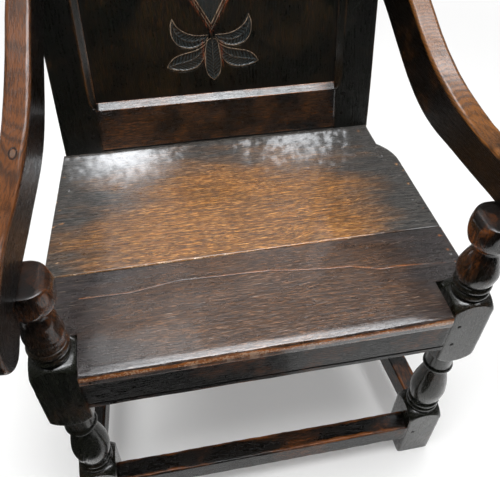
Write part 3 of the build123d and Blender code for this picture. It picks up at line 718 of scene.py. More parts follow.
def raked(u, v, depth):
    """A place in the leaning back: across, up the rake, and behind the posts' faces."""
    return np.stack([u, post_face + v * math.sin(RAKE) + depth * math.cos(RAKE),
                     seat_top + v * math.cos(RAKE) - depth * math.sin(RAKE)], 1)


def bent_post(side):
    """A post's place: upright to the seat, raked above it."""
    mitre = math.tan(RAKE / 2)

    def place(p):
        x, rise, depth = side * p[:, 0], p[:, 1], p[:, 2]
        lower = np.stack([x, post_face + depth, rise * (seat_top - depth * mitre) / seat_top], 1)
        above = np.maximum(rise - seat_top, 0)
        upper = raked(x, above + (above / post_length - 1) * depth * mitre, depth)
        return np.where((rise > seat_top)[:, None], upper, lower)
    return place


def bevel_reach(v):
    """Width of a post's bevel at a raked height, with its curved stops."""
    foot, head = LOWER_RAIL_TOP - BEVEL_WIDTH, panel_top + BEVEL_WIDTH
    radius = (BEVEL_STOP ** 2 + BEVEL_WIDTH ** 2) / (2 * BEVEL_WIDTH)
    inside = np.minimum(v - foot, head - v)
    short = np.clip(BEVEL_STOP - inside, 0, BEVEL_STOP)
    return np.where(inside > 0, BEVEL_WIDTH - radius + np.sqrt(radius ** 2 - short ** 2), 0)


def post(side, hand, seed):
    foot, head = LOWER_RAIL_TOP - BEVEL_WIDTH + seat_top, panel_top + BEVEL_WIDTH + seat_top
    stops = [end + way * run for end, way in ((foot, 1), (head, -1)) for run in (0, 8, 16, BEVEL_STOP)]
    rows = lines(0, seat_top + post_length, 5.0, seat_top, *stops)
    u, v = np.meshgrid(lines(post_inner, post_outer, 3.5, post_inner + BEVEL_WIDTH), rows, indexing="ij")
    gap = np.minimum(np.minimum(u - post_inner, post_outer - u), np.minimum(v, rows[-1] - v))
    radius = POST_ARRIS * np.clip(1 + 0.6 * lumps_over(u, v, 40, seed), 0.4, 2)
    reach = bevel_reach(v - seat_top)
    across_bevel = u - post_inner
    bevel = np.where(across_bevel < reach, BEVEL_DEPTH * (1 - across_bevel / BEVEL_WIDTH), 0)
    front = np.maximum(rounded(gap, radius), bevel)
    back = POST_DEPTH - rounded(gap, radius)
    arris = np.where(reach > 1, np.abs(across_bevel - reach), 99)
    close = np.minimum(gap, arris * 1.3)
    return plank_piece(f"rear_post_{hand}_worn", f"rear_post_{hand}", "back_oak", u, v, front, back, close,
                       bent_post(side), "v", seed, layers=8, finish="post_oak")


for side, hand in HANDS:
    post(side, hand, 30 + side)

# %% [markdown]
# ## Back rails
# Both rails lie in the leaning plane of the back, and both have a bevel towards the panel. The lower one
# is sawn level just above the seat, and the upper one rises in a low arch.

# %% Back rails
RAIL_THICKNESS = 32.0
TOP_RAIL_HEIGHT = 90.0
RAIL_LATTICE = 90.0              # the height that a rail's lattice is laid out for
RAIL_ARRIS = 1.6
ARCH = 26.0


def back_rail(node, low, high, bevel_from, towards, seed):
    """A rail between two raked heights, each a function of the place across."""
    side = post_inner + INTO_JOINT
    mark = RAIL_LATTICE - BEVEL_WIDTH if towards < 0 else BEVEL_WIDTH
    span = lines(0, RAIL_LATTICE, 3.5, mark) / RAIL_LATTICE
    u, s = np.meshgrid(lines(-side, side, 5.0, reach=()), span, indexing="ij")
    v = low(u) + (high(u) - low(u)) * s
    gap = np.minimum(v - low(u), high(u) - v)
    radius = RAIL_ARRIS * np.clip(1 + 0.6 * lumps_over(u, v, 40, seed), 0.4, 2)
    run = np.abs(v - bevel_from)
    bevel = BEVEL_DEPTH * np.clip(1 - run / BEVEL_WIDTH, 0, 1)
    front = np.maximum(rounded(gap, radius), bevel)
    back = RAIL_THICKNESS - rounded(gap, radius)
    close = np.minimum(gap, np.abs(run - BEVEL_WIDTH) * 1.3)
    slant = math.tan(RAKE) if towards < 0 else 0.0

    def place(p):
        rise = np.clip((high(p[:, 0]) - p[:, 1]) / RAIL_LATTICE, 0, 1)
        return raked(p[:, 0], p[:, 1] + slant * p[:, 2] * rise, p[:, 2])

    return plank_piece(node + "_worn", node, "back_oak", u, v, front, back, close, place, "u", seed)


arch_radius = (post_inner ** 2 + ARCH ** 2) / (2 * ARCH)
top_rail_top = panel_top + TOP_RAIL_HEIGHT
back_rail("back_bottom_rail", lambda u: 0 * u + RAIL_GAP / math.cos(RAKE), lambda u: 0 * u + LOWER_RAIL_TOP,
          LOWER_RAIL_TOP, -1, 41)
back_rail("back_top_rail", lambda u: 0 * u + panel_top,
          lambda u: top_rail_top + ARCH - arch_radius + np.sqrt(arch_radius ** 2 - u ** 2), panel_top, 1, 42)

# %% [markdown]
# ## The carved panel
# The carver scratched a lozenge with a sunk middle and cut a spray of five leaves above and below it. Each
# leaf is two smooth edges that meet at a tip. Its outline is a V cut, a ridge runs down its middle and short
# cuts hatch it. The cuts are grey-blue, partly dust and partly a painted reflection, and the wood beside
# the lozenge is rubbed red. All of it is a drop in one surface, so the panel is a plank over a lattice
# that is fine where there is carving and coarse elsewhere.

# %% Leaves and lozenge
MOTIF_ACROSS = -6.3              # the motif is set a little to the left
LOZENGE_HALF = 69.0
SPRAY = 110.0                    # lozenge's point to the panel's edge
UPPER_LEAF = (((7, -8), (20, -8), (35, -6), (50, 1), (60, 10), (66, 22)),
              ((7, -12), (14, -20), (27, -27), (42, -28.5), (58, -23), (68, -9), (70, 8), (66, 22)))
LOWER_LEAF = (((11, -22), (17, -27), (30, -33), (47, -36.5), (64, -41), (75, -49), (81, -58.5)),
              ((11, -24), (13, -36), (18, -50), (30, -62), (49, -66.5), (70, -63.5), (81, -58.5)))
MIDDLE_LEAF = (((2, -14), (9, -18), (12, -35), (14, -57), (12, -72), (7, -81), (0, -87)),
               ((-2, -14), (-9, -18), (-12, -35), (-14, -57), (-12, -72), (-7, -81), (0, -87)))
HUB = (0, -9, 8.5)               # place and half width of the boss where the leaves meet
HATCH_PITCH = 6.0
panel_middle = (LOWER_RAIL_TOP + panel_top) / 2
lozenge_high = PANEL_HEIGHT / 2 - SPRAY


def leaf_cut(x, y, leaf):
    """Depth of one leaf's carving and how much it is inside the leaf."""
    outline_a, outline_b = ([tuple(p) for p in even(spline(edge, 5), 25)] for edge in leaf)
    base, tip = np.array(outline_a[0]), np.array(outline_a[-1])
    vein = [((ax + bx) / 2, (ay + by) / 2) for (ax, ay), (bx, by) in zip(outline_a, outline_b)]
    rim = np.minimum(distance_to(x, y, outline_a), distance_to(x, y, outline_b))
    ring = outline_a + outline_b[::-1]
    inside = np.zeros(np.shape(x), bool)
    for (x0, y0), (x1, y1) in zip(ring, ring[1:] + ring[:1]):
        crosses = (y0 > y) != (y1 > y)
        inside ^= crosses & (x < (x1 - x0) * (y - y0) / np.where(crosses, y1 - y0, 1) + x0)
    middle = distance_to(x, y, vein)
    along = (x - base[0]) * (tip - base)[0] + (y - base[1]) * (tip - base)[1]
    along = along / np.hypot(*(tip - base))
    hatch = 0.5 + 0.5 * np.cos(2 * math.pi * (along + middle * 0.8) / HATCH_PITCH)
    sunk = inside * 1.5 * step(rim, 0.3, 2.6)
    ridge = 0.9 * np.exp(-(middle / 1.0) ** 2) * step(rim, 0.5, 2.5)
    depth = sunk - inside * ridge + 1.1 * np.exp(-((rim - 1.6) / 0.8) ** 2) * ~inside
    depth = depth + inside * 0.6 * hatch ** 2 * step(rim, 1.2, 2.4) * step(middle, 1.0, 2.0)
    light = 0.9 * np.exp(-(rim / 1.0) ** 2) + inside * 0.6 * np.exp(-(middle / 0.9) ** 2) * step(rim, 1, 3)
    # grey-blue inside the leaf: dust and painted reflection, most between the hatch cuts
    dust_and_reflection = inside * step(rim, 0.8, 2.0) * (0.1 + 0.9 * (1 - hatch) ** 2)
    return depth, np.clip(light, 0, 1), dust_and_reflection


def carving(u, v):
    """The motif's depth, its pale raised lines, the dust and painted reflection in its cuts and where it is
    rubbed red.
    """
    x, y = u - MOTIF_ACROSS, np.abs(v - panel_middle)
    slope = math.hypot(LOZENGE_HALF, lozenge_high)
    within = (1 - np.abs(x) / LOZENGE_HALF - y / lozenge_high) * LOZENGE_HALF * lozenge_high / slope
    depth = 1.2 * np.exp(-((within + 1.4) / 0.9) ** 2) + 1.2 * np.exp(-((within - 2.6) / 1.1) ** 2)
    depth = depth + 2.0 * step(within, 5.6, 7.2)
    light = np.exp(-((within - 0.2) / 1.0) ** 2) + np.exp(-((within - 5.2) / 1.0) ** 2)
    light = light * 0.75 + 0.3 * step(within, 0, 2) * (1 - step(within, 4, 6))
    dust_and_reflection = 0.5 * step(within, 6.5, 8)
    red = np.exp(-((within + 2.4) / 1.8) ** 2) + 0.8 * np.exp(-((within - 3) / 1.6) ** 2)
    down = lozenge_high - y
    for across, leaf in ((np.abs(x), UPPER_LEAF), (np.abs(x), LOWER_LEAF), (x, MIDDLE_LEAF)):
        cut, rim, grey = leaf_cut(across, down, leaf)
        depth, light, dust_and_reflection = np.maximum(depth, cut), np.maximum(light, rim), np.maximum(dust_and_reflection, grey)
    boss = np.maximum(np.abs(x - HUB[0]), np.abs(down - HUB[1]))
    red = red + np.exp(-((np.abs(x) - 16.5) / 2.5) ** 2) * step(down, -70, -50) * step(down, -12, -24)
    light = np.maximum(light, 0.3 * step(-boss, -HUB[2], 2 - HUB[2]))
    return depth * step(boss, HUB[2] - 2, HUB[2]), light, dust_and_reflection, np.clip(red, 0, 1)


# %% The panel
EDGE_BEHIND = 6.0                # the panel's tongue runs this far behind the frame
TONGUE, FIELD = 8.0, 4.0         # thickness in the groove, and how much more inside it
MOTIF_HALF = 90.0


def carved_panel(seed):
    side = post_inner + EDGE_BEHIND
    low, high = LOWER_RAIL_TOP - EDGE_BEHIND, panel_top + EDGE_BEHIND
    fine_u = np.arange(MOTIF_ACROSS - MOTIF_HALF, MOTIF_ACROSS + MOTIF_HALF, 1.0)
    us = np.concatenate([np.linspace(-side, fine_u[0] - 4, 28), fine_u,
                         np.linspace(fine_u[-1] + 4, side, 28)])
    spray_low = panel_middle - lozenge_high - 88
    fine_low = np.arange(spray_low, panel_middle - lozenge_high + 26, 1.0)
    middle = np.arange(fine_low[-1] + 1.5, 2 * panel_middle - fine_low[-1] - 1, 1.5)
    fine_high = 2 * panel_middle - fine_low[::-1]
    vs = np.concatenate([np.linspace(low, fine_low[0] - 3, 8), fine_low, middle, fine_high,
                         np.linspace(fine_high[-1] + 3, high, 8)])
    u, v = np.meshgrid(us, vs, indexing="ij")
    gap = np.minimum(np.minimum(u + side, side - u), np.minimum(v - low, high - v))
    front = PANEL_RECESS + carving(u, v)[0]
    back = PANEL_RECESS + TONGUE + FIELD * step(gap, 12, 34)

    def extra(points, attributes):
        _, bright, dust_and_reflection, red = carving(points[:, 0], points[:, 1])
        ahead = points[:, 2] < PANEL_RECESS + 5
        attributes["wear"] = np.clip(bright * ahead, 0, 1)
        # the cuts' grey-blue: dust and painted reflection
        attributes["cut"] = dust_and_reflection * ahead
        attributes["red"] = red * ahead
        # darker near the frame round the panel: painted shade where it runs into the groove, with dirt
        attributes["hollow"] = np.clip(np.exp(-gap_inside(points) / 5), 0, 1) * 0.8 * ahead
        return attributes

    def gap_inside(points):
        return np.maximum(np.minimum(post_inner - np.abs(points[:, 0]),
                                     np.minimum(points[:, 1] - LOWER_RAIL_TOP, panel_top - points[:, 1])), 0)

    return plank_piece("carved_panel_cut", "carved_panel", "panel_oak", u, v, front, back, gap + 50,
                       lambda p: raked(p[:, 0], p[:, 1], p[:, 2]), "v", seed, extra=extra, layers=2, coarse=7)


carved_panel(51)

# %% [markdown]
# ## The seat boards
# Two planks lie across the rails. They are notched round the legs and posts, their edges have shrunk and
# worn, and the front one has split along the grain. Each is a plank over a lattice whose outer columns
# follow the slanting sides, and the cells where a leg or post stands are left out.

# %% Seat boards
NOTCH_GAP = 0.5
RIGHT_NOTCH = 6.0                # the right notch is cut this much wider than its leg
BOARD_ARRIS = 1.7
LEFT_EDGE = -3.0                 # left edge beyond the leg's and post's outer faces
RIGHT_FRONT = -8.0
RIGHT_REAR = 20.0
STEP_INSET, STEP_LENGTH, STEP_CURVE = 4.0, 64.0, 57.0
NOSE = 4.5                       # rounding of the front edge
NOSE_SLOPE = (3.2, 15.0)         # the top falls this much towards it, over this width
SIDE_DULL = 3.0                  # the side edges are rubbed less: as if this much further in
SPLIT = ((-261, 121), (-190, 120), (-119, 131), (19, 125), (47, 120), (107, 113), (138, 111), (181, 98),
         (213, 98), (285, 92))


def left_edge(y):
    share = (y - leg_back) / (post_face - leg_back)
    return -(leg_outer + (post_outer - leg_outer) * share) + LEFT_EDGE


def right_edge(y):
    """Right edge of the seat: straight, then a sawn curve in to the step beside the post."""
    turn = post_face - STEP_LENGTH - STEP_CURVE
    front_x, rear_x = leg_outer + RIGHT_FRONT, post_outer + RIGHT_REAR
    straight = front_x + (rear_x - front_x) * (y - leg_back) / (turn - leg_back)
    inset = post_outer - STEP_INSET
    drop = rear_x - inset
    radius = (STEP_CURVE ** 2 + drop ** 2) / (2 * drop)
    curve = rear_x - radius + np.sqrt(np.maximum(radius ** 2 - np.clip(y - turn, 0, STEP_CURVE) ** 2, 0))
    return np.where(y < turn, straight, np.where(y < turn + STEP_CURVE, curve, inset))


def seat_board(name, node, finish, ys, inner_left, inner_right, narrow, edges, seed, nose=None,
               split=None):
    """A board over rows ys. Rows where narrow is true lie only between the two notches."""
    share = np.concatenate([[0.0], np.cumsum([0.35, 0.55, 0.8, 1.1, 1.6, 2.2, 2.9]) / 9.5, [1.0]])
    share = np.minimum(share, 1.0)
    xs_inner = lines(inner_left, inner_right, 3.2)
    outer = len(share)
    total = 2 * outer + len(xs_inner) - 2
    u = np.zeros((total, len(ys)))
    left, right = left_edge(ys), right_edge(ys)
    for k, part in enumerate(share):
        u[k] = left + (inner_left - left) * part
        u[total - 1 - k] = right + (inner_right - right) * part
    u[outer:total - outer] = xs_inner[1:-1, None]
    v = np.repeat(ys[None, :], total, axis=0)
    keep = np.ones((total - 1, len(ys) - 1), bool)
    middle_rows = (ys[1:] + ys[:-1]) / 2
    keep[:outer - 1, narrow(middle_rows)] = False
    keep[total - outer:, narrow(middle_rows)] = False
    gap = np.full(u.shape, 99.0)
    for edge, tight in edges:
        gap = np.minimum(gap, distance_to(u, v, edge) + tight)
    chips = 1 + 0.7 * lumps_over(u, v, 30, seed) + 0.5 * lumps_over(u, v, 8, seed + 1)
    radius = BOARD_ARRIS * np.clip(chips, 0.3, 2.6)
    if nose is not None:
        radius = radius + (NOSE - BOARD_ARRIS) * np.exp(-((v - nose) / 30) ** 2)
    top = rounded(gap, radius) + 0.5 * lumps_over(u, v, 110, seed + 7) + 0.4
    if nose is not None:
        top = top + NOSE_SLOPE[0] * np.clip(1 - (v - nose) / NOSE_SLOPE[1], 0, 1) ** 2
    under = (seat_top - seat_under) - rounded(gap, radius * 0.5)
    if split:
        line = [(x, leg_face + y) for x, y in split]
        top = top + 0.35 * np.exp(-(distance_to(u, v, line) / 0.8) ** 2)

    def extra(points, attributes):
        to_side = np.minimum(points[:, 0] - left_edge(points[:, 1]), right_edge(points[:, 1]) - points[:, 0])
        flecks = step(lumps(points, 5.0, seed + 12), 0.5, 0.8) * step(to_side, 45, 10) * (points[:, 2] < 8)
        attributes["wear"] = np.maximum(attributes["wear"] ** 1.5, 0.75 * flecks)
        if nose is not None:
            by_nose = np.exp(-((points[:, 1] - nose) / 2.2) ** 2) * step(points[:, 2], 16, 11)
            attributes["wear"] = np.maximum(attributes["wear"], 0.75 * by_nose)
        if split:
            lip = [(x, y + 1.6) for x, y in line]
            near = np.exp(-(distance_to(points[:, 0], points[:, 1], line) / 0.8) ** 2)
            rubbed = np.exp(-(distance_to(points[:, 0], points[:, 1], lip) / 3.0) ** 2)
            upper = points[:, 2] < 10
            # the split and the joint with the rear board are darkened: painted shade in their gaps, with dirt
            by_joint = np.exp(-((board_rear - points[:, 1]) / 1.3) ** 2)
            attributes["hollow"] = np.maximum(0.8 * near, 0.9 * by_joint) * upper
            attributes["wear"] = np.maximum(attributes["wear"], 0.55 * rubbed * upper)
        return attributes

    return plank_piece(name, node, "seat_oak", u, v, top, under, gap,
                       lambda p: np.stack([p[:, 0], p[:, 1], seat_top - p[:, 2]], 1), "u", seed,
                       keep=keep, extra=extra, finish=finish)


front_y = front_board_low[1]
notch_left, notch_right = -leg_inner + NOTCH_GAP - FRONT_RAIL_REACH, leg_inner - RIGHT_NOTCH
notch_back = leg_back + NOTCH_GAP
split_low, split_high = (leg_face + f(y for _, y in SPLIT) for f in (min, max))
rows = lines(front_y, front_board_high[1], 3.5, notch_back)
fine = np.arange(split_low - 3, split_high + 3, 0.8)
rows = np.sort(np.concatenate([rows[(rows < fine[0] - 0.4) | (rows > fine[-1] + 0.4)], fine]))
board_rear = front_board_high[1]
border = [[(notch_left, front_y), (notch_right, front_y)],
          [(notch_left, front_y), (notch_left, notch_back), (left_edge(notch_back), notch_back),
           (left_edge(board_rear), board_rear)],
          [(notch_right, front_y), (notch_right, notch_back), (right_edge(notch_back), notch_back),
           (right_edge(board_rear), board_rear)],
          [(left_edge(board_rear), board_rear), (right_edge(board_rear), board_rear)]]
seat_board("seat_board_front_worn", "seat_board_front", "seat_front", rows, notch_left, notch_right,
           lambda y: y < notch_back, list(zip(border, (0.0, SIDE_DULL, SIDE_DULL, 0.5))), 61, nose=front_y,
           split=SPLIT)

board_front, board_back = rear_board_low[1], rear_board_high[1]
post_notch = post_face - NOTCH_GAP
turn_rows = np.linspace(post_face - STEP_LENGTH - STEP_CURVE, post_face - STEP_LENGTH, 12)
right_line = [(float(right_edge(y)), float(y)) for y in [board_front, *turn_rows, post_notch]]
inner = post_inner - NOTCH_GAP
border = [[(left_edge(board_front), board_front), (right_edge(board_front), board_front)],
          right_line + [(inner, post_notch), (inner, board_back), (-inner, board_back),
                        (-inner, post_notch), (left_edge(post_notch), post_notch),
                        (left_edge(board_front), board_front)]]
seat_board("seat_board_rear_worn", "seat_board_rear", "seat_rear",
           lines(board_front, board_back, 3.5, post_notch, post_face - STEP_LENGTH), -inner, inner,
           lambda y: y > post_notch, list(zip(border, (0.0, SIDE_DULL))), 62)

# %% [markdown]
# ## The arms
# An arm is a deep plank, sawn to a sweeping outline that ends in a scroll in front of the leg. Its outline
# is read from the side of its solid. Pairs of points on the underside and on the top make the stations of
# a loft, and round the scroll the stations fan out from the corner above the leg. Each section is a
# rounded oblong, rubbed most on its upper edges and on top where the arm lies level. The grain of one arm
# stays nearly level, so that its rings come out on top, and that of the other follows the sweep.

# %% Reading the outline of an arm
def side_outline(node, normal):
    """Points of the longest loop round the flat side of a solid that faces along normal."""
    work = bmesh.new()
    work.from_mesh(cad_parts[node].data)
    bmesh.ops.remove_doubles(work, verts=work.verts, dist=1e-6)
    work.normal_update()
    normal = Vector(normal)
    work.verts.index_update()
    facing = [f for f in work.faces if f.normal.dot(normal) > 0.9995]
    reach = max(f.calc_center_median().dot(normal) for f in facing)
    facing = [f for f in facing if reach - f.calc_center_median().dot(normal) < 1e-4]
    side = set(facing)
    rim = {}
    for face in facing:
        for loop in face.loops:
            if sum(other in side for other in loop.edge.link_faces) == 1:
                rim[loop.vert.index] = loop.link_loop_next.vert.index
    best = []
    while rim:
        chain = [min(rim)]
        while chain[-1] in rim:
            chain.append(rim.pop(chain[-1]))
        best = max(best, chain, key=len)
    work.verts.ensure_lookup_table()
    points = np.array([work.verts[i].co[:] for i in best[:-1]]) * MM
    work.free()
    return points


SPLAY_NORMAL = (-1, -0.07, 0)    # an arm's inner side, roughly
ARM_THICKNESS = 35.0
GRAIN_RISE = {"right": 0.9, "left": 0.1}   # 1 keeps the grain level, 0 lets it follow the sweep
ARRIS_RADII = (5.5, 5.0, 2.4, 2.4)   # upper outer, upper inner, lower inner, lower outer
FACE_STEPS, TURN_STEPS = 8, 6    # points across each face of a section and round each arris
GRAIN_SHIFT = 700.0              # keeps the grain of the two arms apart
PITH_BELOW = -480.0              # the heart of the tree lies this far under the arm's middle

arm_side = side_outline("arm_right", Vector(SPLAY_NORMAL).normalized())
ends = arm_side[[arm_side[:, 1].argmin(), arm_side[:, 1].argmax()]]
splay = math.atan2(ends[0, 0] - ends[1, 0], ends[1, 1] - ends[0, 1])
arm_along = np.array([-math.sin(splay), math.cos(splay), 0])
arm_out = np.array([math.cos(splay), math.sin(splay), 0])
arm_start = ends[0] + arm_along * (leg_face - ends[0, 1]) / math.cos(splay)
arm_start[2] = 0
profile = np.stack([(arm_side - arm_start) @ arm_along, arm_side[:, 2]], 1)
print("arm outline points", len(profile), "splay", round(math.degrees(splay), 2), "starts at", arm_start)

# %% Stations along an arm
SCROLL_CLEAR = 12.0              # the scroll stands this far in front of the leg
SWEEP_STATIONS = 150
SCROLL_STATIONS = 70
SCROLL_END = 13.0                # the scroll stops this far from the underside
ARM_BEDDED = 1.5                 # the arm's root runs this far into the post


def arm_stations():
    """Pairs of points: on the underside and on the top, from the post to the scroll's end."""
    back = profile @ np.array([math.cos(RAKE), -math.sin(RAKE)])
    rear = np.flatnonzero(back > back.max() - 1.0)
    low, high = rear[profile[rear, 1].argmin()], rear[profile[rear, 1].argmax()]
    notch = np.hypot(profile[:, 0] + SCROLL_CLEAR, profile[:, 1] - arm_level).argmin()
    size = len(profile)
    loop = np.roll(profile, -low, axis=0)
    high, notch = (high - low) % size, (notch - low) % size
    if high < notch:
        loop = np.roll(loop[::-1], 1, axis=0)
        high, notch = size - high, size - notch
    under, over = loop[:notch + 1], loop[notch:high + 1][::-1]
    crown = np.flatnonzero(over[:, 0] < under[-1, 0])[0]
    bottom, top = even(under, SWEEP_STATIONS), even(over[:crown + 1], SWEEP_STATIONS)
    scroll = even(over[crown:], SCROLL_STATIONS + 1)[1:]
    tail = np.flatnonzero(np.hypot(*(scroll - under[-1]).T) < SCROLL_END)
    scroll = scroll[:tail[0]] if len(tail) else scroll
    into = np.array([math.cos(RAKE), -math.sin(RAKE)]) * ARM_BEDDED
    bottom = np.vstack([bottom[:1] + into, bottom, np.repeat(bottom[-1:], len(scroll), axis=0)])
    return bottom, np.vstack([top[:1] + into, top, scroll])


def ring(width, height, radii):
    """A rounded oblong at every station, and how far its points are from an arris."""
    outline, gaps = [], []
    signs = ((1, 1), (-1, 1), (-1, -1), (1, -1))
    arcs = []
    for k, (sx, sy) in enumerate(signs):
        r = np.minimum(radii[k], 0.46 * np.minimum(width, height))
        angles = math.pi / 2 * (k + np.linspace(0, 1, TURN_STEPS))
        arcs.append((sx * (width / 2 - r)[:, None] + r[:, None] * np.cos(angles),
                     sy * (height / 2 - r)[:, None] + r[:, None] * np.sin(angles)))
    for k in range(4):
        (ax, ay), (bx, by) = arcs[k], arcs[(k + 1) % 4]
        outline.append(np.stack(arcs[k], 2))
        gaps.append(np.abs(np.linspace(-1, 1, TURN_STEPS)) * np.ones((len(width), 1)) * 1.5)
        share = (0.5 - 0.5 * np.cos(math.pi * np.arange(1, FACE_STEPS + 1) / (FACE_STEPS + 1)))[None, :]
        x = ax[:, -1:] * (1 - share) + bx[:, :1] * share
        y = ay[:, -1:] * (1 - share) + by[:, :1] * share
        run = np.hypot(bx[:, :1] - ax[:, -1:], by[:, :1] - ay[:, -1:])
        outline.append(np.stack([x, y], 2))
        easing = 0.35 if k == 0 else 1.0
        gaps.append(np.minimum(share, 1 - share) * run * easing + 1.5)
    return np.concatenate(outline, 1), np.concatenate(gaps, 1)


def tube_faces(stations, count):
    """Faces between the rings of a loft, and a fan at each end."""
    number = np.arange(stations * count).reshape(stations, count)
    after = np.roll(number, -1, axis=1)
    quads = np.stack([number[:-1], after[:-1], after[1:], number[1:]], 2).reshape(-1, 4)
    first, last = stations * count, stations * count + 1
    caps = [(first, b, a) for a, b in zip(number[0], after[0])]
    caps += [(last, a, b) for a, b in zip(number[-1], after[-1])]
    return [tuple(q) for q in quads] + caps


def arm(side, hand, seed):
    bottom, top = arm_stations()
    span = top - bottom
    height = np.hypot(*span.T)
    up = span / height[:, None]
    spots = np.stack([bottom[:, 0], top[:, 1], 0 * height], 1)
    wobble = [np.clip(1 + 0.3 * lumps(spots, 60, seed + k) + 0.08 * lumps(spots, 12, seed + 9 + k), 0.5, 2)
              for k in range(4)]
    radii = [r * w for r, w in zip(ARRIS_RADII, wobble)]
    section, gaps = ring(np.full(len(height), ARM_THICKNESS), height, radii)
    middle = (bottom + top) / 2
    flat = middle[:, None, :] + section[:, :, 1:2] * up[:, None, :]
    across = section[:, :, 0] + ARM_THICKNESS / 2
    count = section.shape[1]
    local = np.stack([across.ravel(), flat[:, :, 0].ravel(), flat[:, :, 1].ravel()], 1)
    local[:, 0] += 0.3 * lumps(local, 90, seed) * np.sign(local[:, 0] - ARM_THICKNESS / 2)
    centres = np.array([[ARM_THICKNESS / 2, *middle[0]], [ARM_THICKNESS / 2, *middle[-1]]])
    local = np.vstack([local, centres])
    gaps = np.concatenate([gaps.ravel(), [20, 20]])
    world = arm_start + local[:, 1:2] * arm_along + local[:, 0:1] * arm_out
    world[:, 2] = local[:, 2]
    world[:, 0] *= side
    crown = np.append((section[:, :, 1] > 0.42 * height[:, None]).ravel(), [False, False])
    level = np.append(np.repeat(step(up[:, 1], 0.35, 0.9), count), [0, 0])
    rubbed = crown * level * (0.75 + 0.2 * lumps(world, 45, seed + 3) + 0.15 * lumps(world, 12, seed + 4))
    wear = np.clip(np.maximum(worn(gaps, world, seed, 3.5), rubbed), 0, 1)
    along = np.concatenate([[0], np.cumsum(np.hypot(*np.diff(middle, axis=0).T))])
    rise = GRAIN_RISE[hand] * middle[:, 1:2]
    fibres = np.stack([across.ravel(), (section[:, :, 1] + rise).ravel(), np.repeat(along, count)], 1)
    tips = [[ARM_THICKNESS / 2, rise[k, 0], along[k]] for k in (0, -1)]
    pith = (-ARM_THICKNESS / 2, PITH_BELOW, GRAIN_SHIFT * side)
    attributes = {"wear": wear, "grain": (np.vstack([fibres, tips]) + pith) / MM,
                  "hollow": np.zeros(len(world))}
    mesh = make_mesh(f"arm_{hand}", world, tube_faces(len(height), count), attributes)
    return dress(f"arm_{hand}_worn", mesh, [f"arm_{hand}"], "arm_oak", f"arm_oak_{hand}")


for side, hand in HANDS:
    arm(side, hand, 70 + side)

# %% [markdown]
# ## The front legs
# A leg is one square stick. The turner leaves it square where rails meet it and turns the rest round, so
# its shape has one rule: at any height it is the smaller of the square and the turned outline. Geometry
# Nodes can follow that rule: a tall cylinder is reshaped, row by row, from an outline drawn as a curve.

# %% The turned outline
SQUARE = 44.0                    # an outline this wide leaves the stick square
FOOT_BLOCK = 110.0
SHOULDER = 25.0
SEAT_BLOCK = (330.0, 423.0)
TOP_BLOCK = 43.0
FULL = 29.7                      # the fullest turning


def shoulder(corner, neck_height, neck):
    """The rounded end of a block, from its corner to the neck."""
    middle = (neck + (SQUARE - neck) * 0.72, corner + (neck_height - corner) * 0.58)
    points = arc((SQUARE, corner), middle, (neck, neck_height), 13)
    return points if neck_height > corner else points[::-1]


def baluster(foot, head, full, collar, plain):
    """Two beads, a vase, a collar and a plain neck, from below."""
    points = []
    for _ in range(2):
        points += [(23.2, foot), (23.2, foot + 1.6)]
        points += arc((24.2, foot + 2), (27.6, foot + 7.4), (24.2, foot + 13), 11)
        foot += 13
    radius, height, drop = collar
    collar_foot = head - drop
    length = collar_foot - 2 - (foot + 2)
    vase = [(25.3, foot + 2), (full - 1.6, foot + 2 + length * 0.13), (full, foot + 2 + length * 0.32),
            (full - 2.2, foot + 2 + length * 0.52), (22.6, foot + 2 + length * 0.76),
            (18.1, foot + 2 + length * 0.94), (17.5, foot + 2 + length)]
    points += [(23.0, foot), (23.0, foot + 1.4)] + [tuple(p) for p in spline(vase, 8)]
    points += [(17.4, collar_foot)]
    points += arc((18.2, collar_foot + 0.6), (radius, collar_foot + height / 2),
                  (plain + 0.3, collar_foot + height), 11)
    return points + [(plain, collar_foot + height + 0.6), (plain, head)]


def leg_outline(full_above):
    """The whole outline as radius and height, from the foot to the arm."""
    lower_start, lower_end = FOOT_BLOCK + SHOULDER, SEAT_BLOCK[0] - SHOULDER
    upper_start, upper_end = SEAT_BLOCK[1] + SHOULDER, arm_level - TOP_BLOCK
    points = [(38.0, 0.0), (41.5, 1.2), (SQUARE, 4.0), (SQUARE, FOOT_BLOCK)]
    points += shoulder(FOOT_BLOCK, lower_start, 23.2)[1:]
    points += baluster(lower_start, lower_end, FULL, (24.5, 11.0, 48.0), 21.5)
    points += shoulder(SEAT_BLOCK[0], lower_end, 21.5)
    points += shoulder(SEAT_BLOCK[1], upper_start, 23.2)
    points += baluster(upper_start, upper_end, full_above, (20.5, 7.0, 11.0), 17.5)
    points += [(26.5, upper_end + 0.8), (28.6, upper_end + 1.8)]
    points += arc((29.2, upper_end + 3), (33.5, upper_end + TOP_BLOCK / 2), (31.5, arm_level - 2), 15)
    return points + [(30.4, arm_level - 0.5), (28.5, arm_level)]


def outline_curve(name, points):
    """An outline as a curve object that the nodes can sample."""
    curve = bpy.data.curves.new(name, "CURVE")
    curve.dimensions = "3D"
    line = curve.splines.new("POLY")
    line.points.add(len(points) - 1)
    for point, (radius, height) in zip(line.points, points):
        point.co = (radius / MM, 0, height / MM, 1)
    return add_object(name, curve)


print("outline points", len(leg_outline(FULL)))

# %% The nodes that turn a leg
def group(name, inputs):
    """A geometry node group with named inputs: the group, its tree and its inputs."""
    made = bpy.data.node_groups.new(name, "GeometryNodeTree")
    made.interface.new_socket("Geometry", in_out="OUTPUT", socket_type="NodeSocketGeometry")
    for label, kind in (("Geometry", "NodeSocketGeometry"), *inputs):
        made.interface.new_socket(label, in_out="INPUT", socket_type=kind)
    tree = Tree(made)
    entry = made.nodes.new("NodeGroupInput")
    return made, tree, {s.name: Socket(tree, s) for s in entry.outputs if s.name}


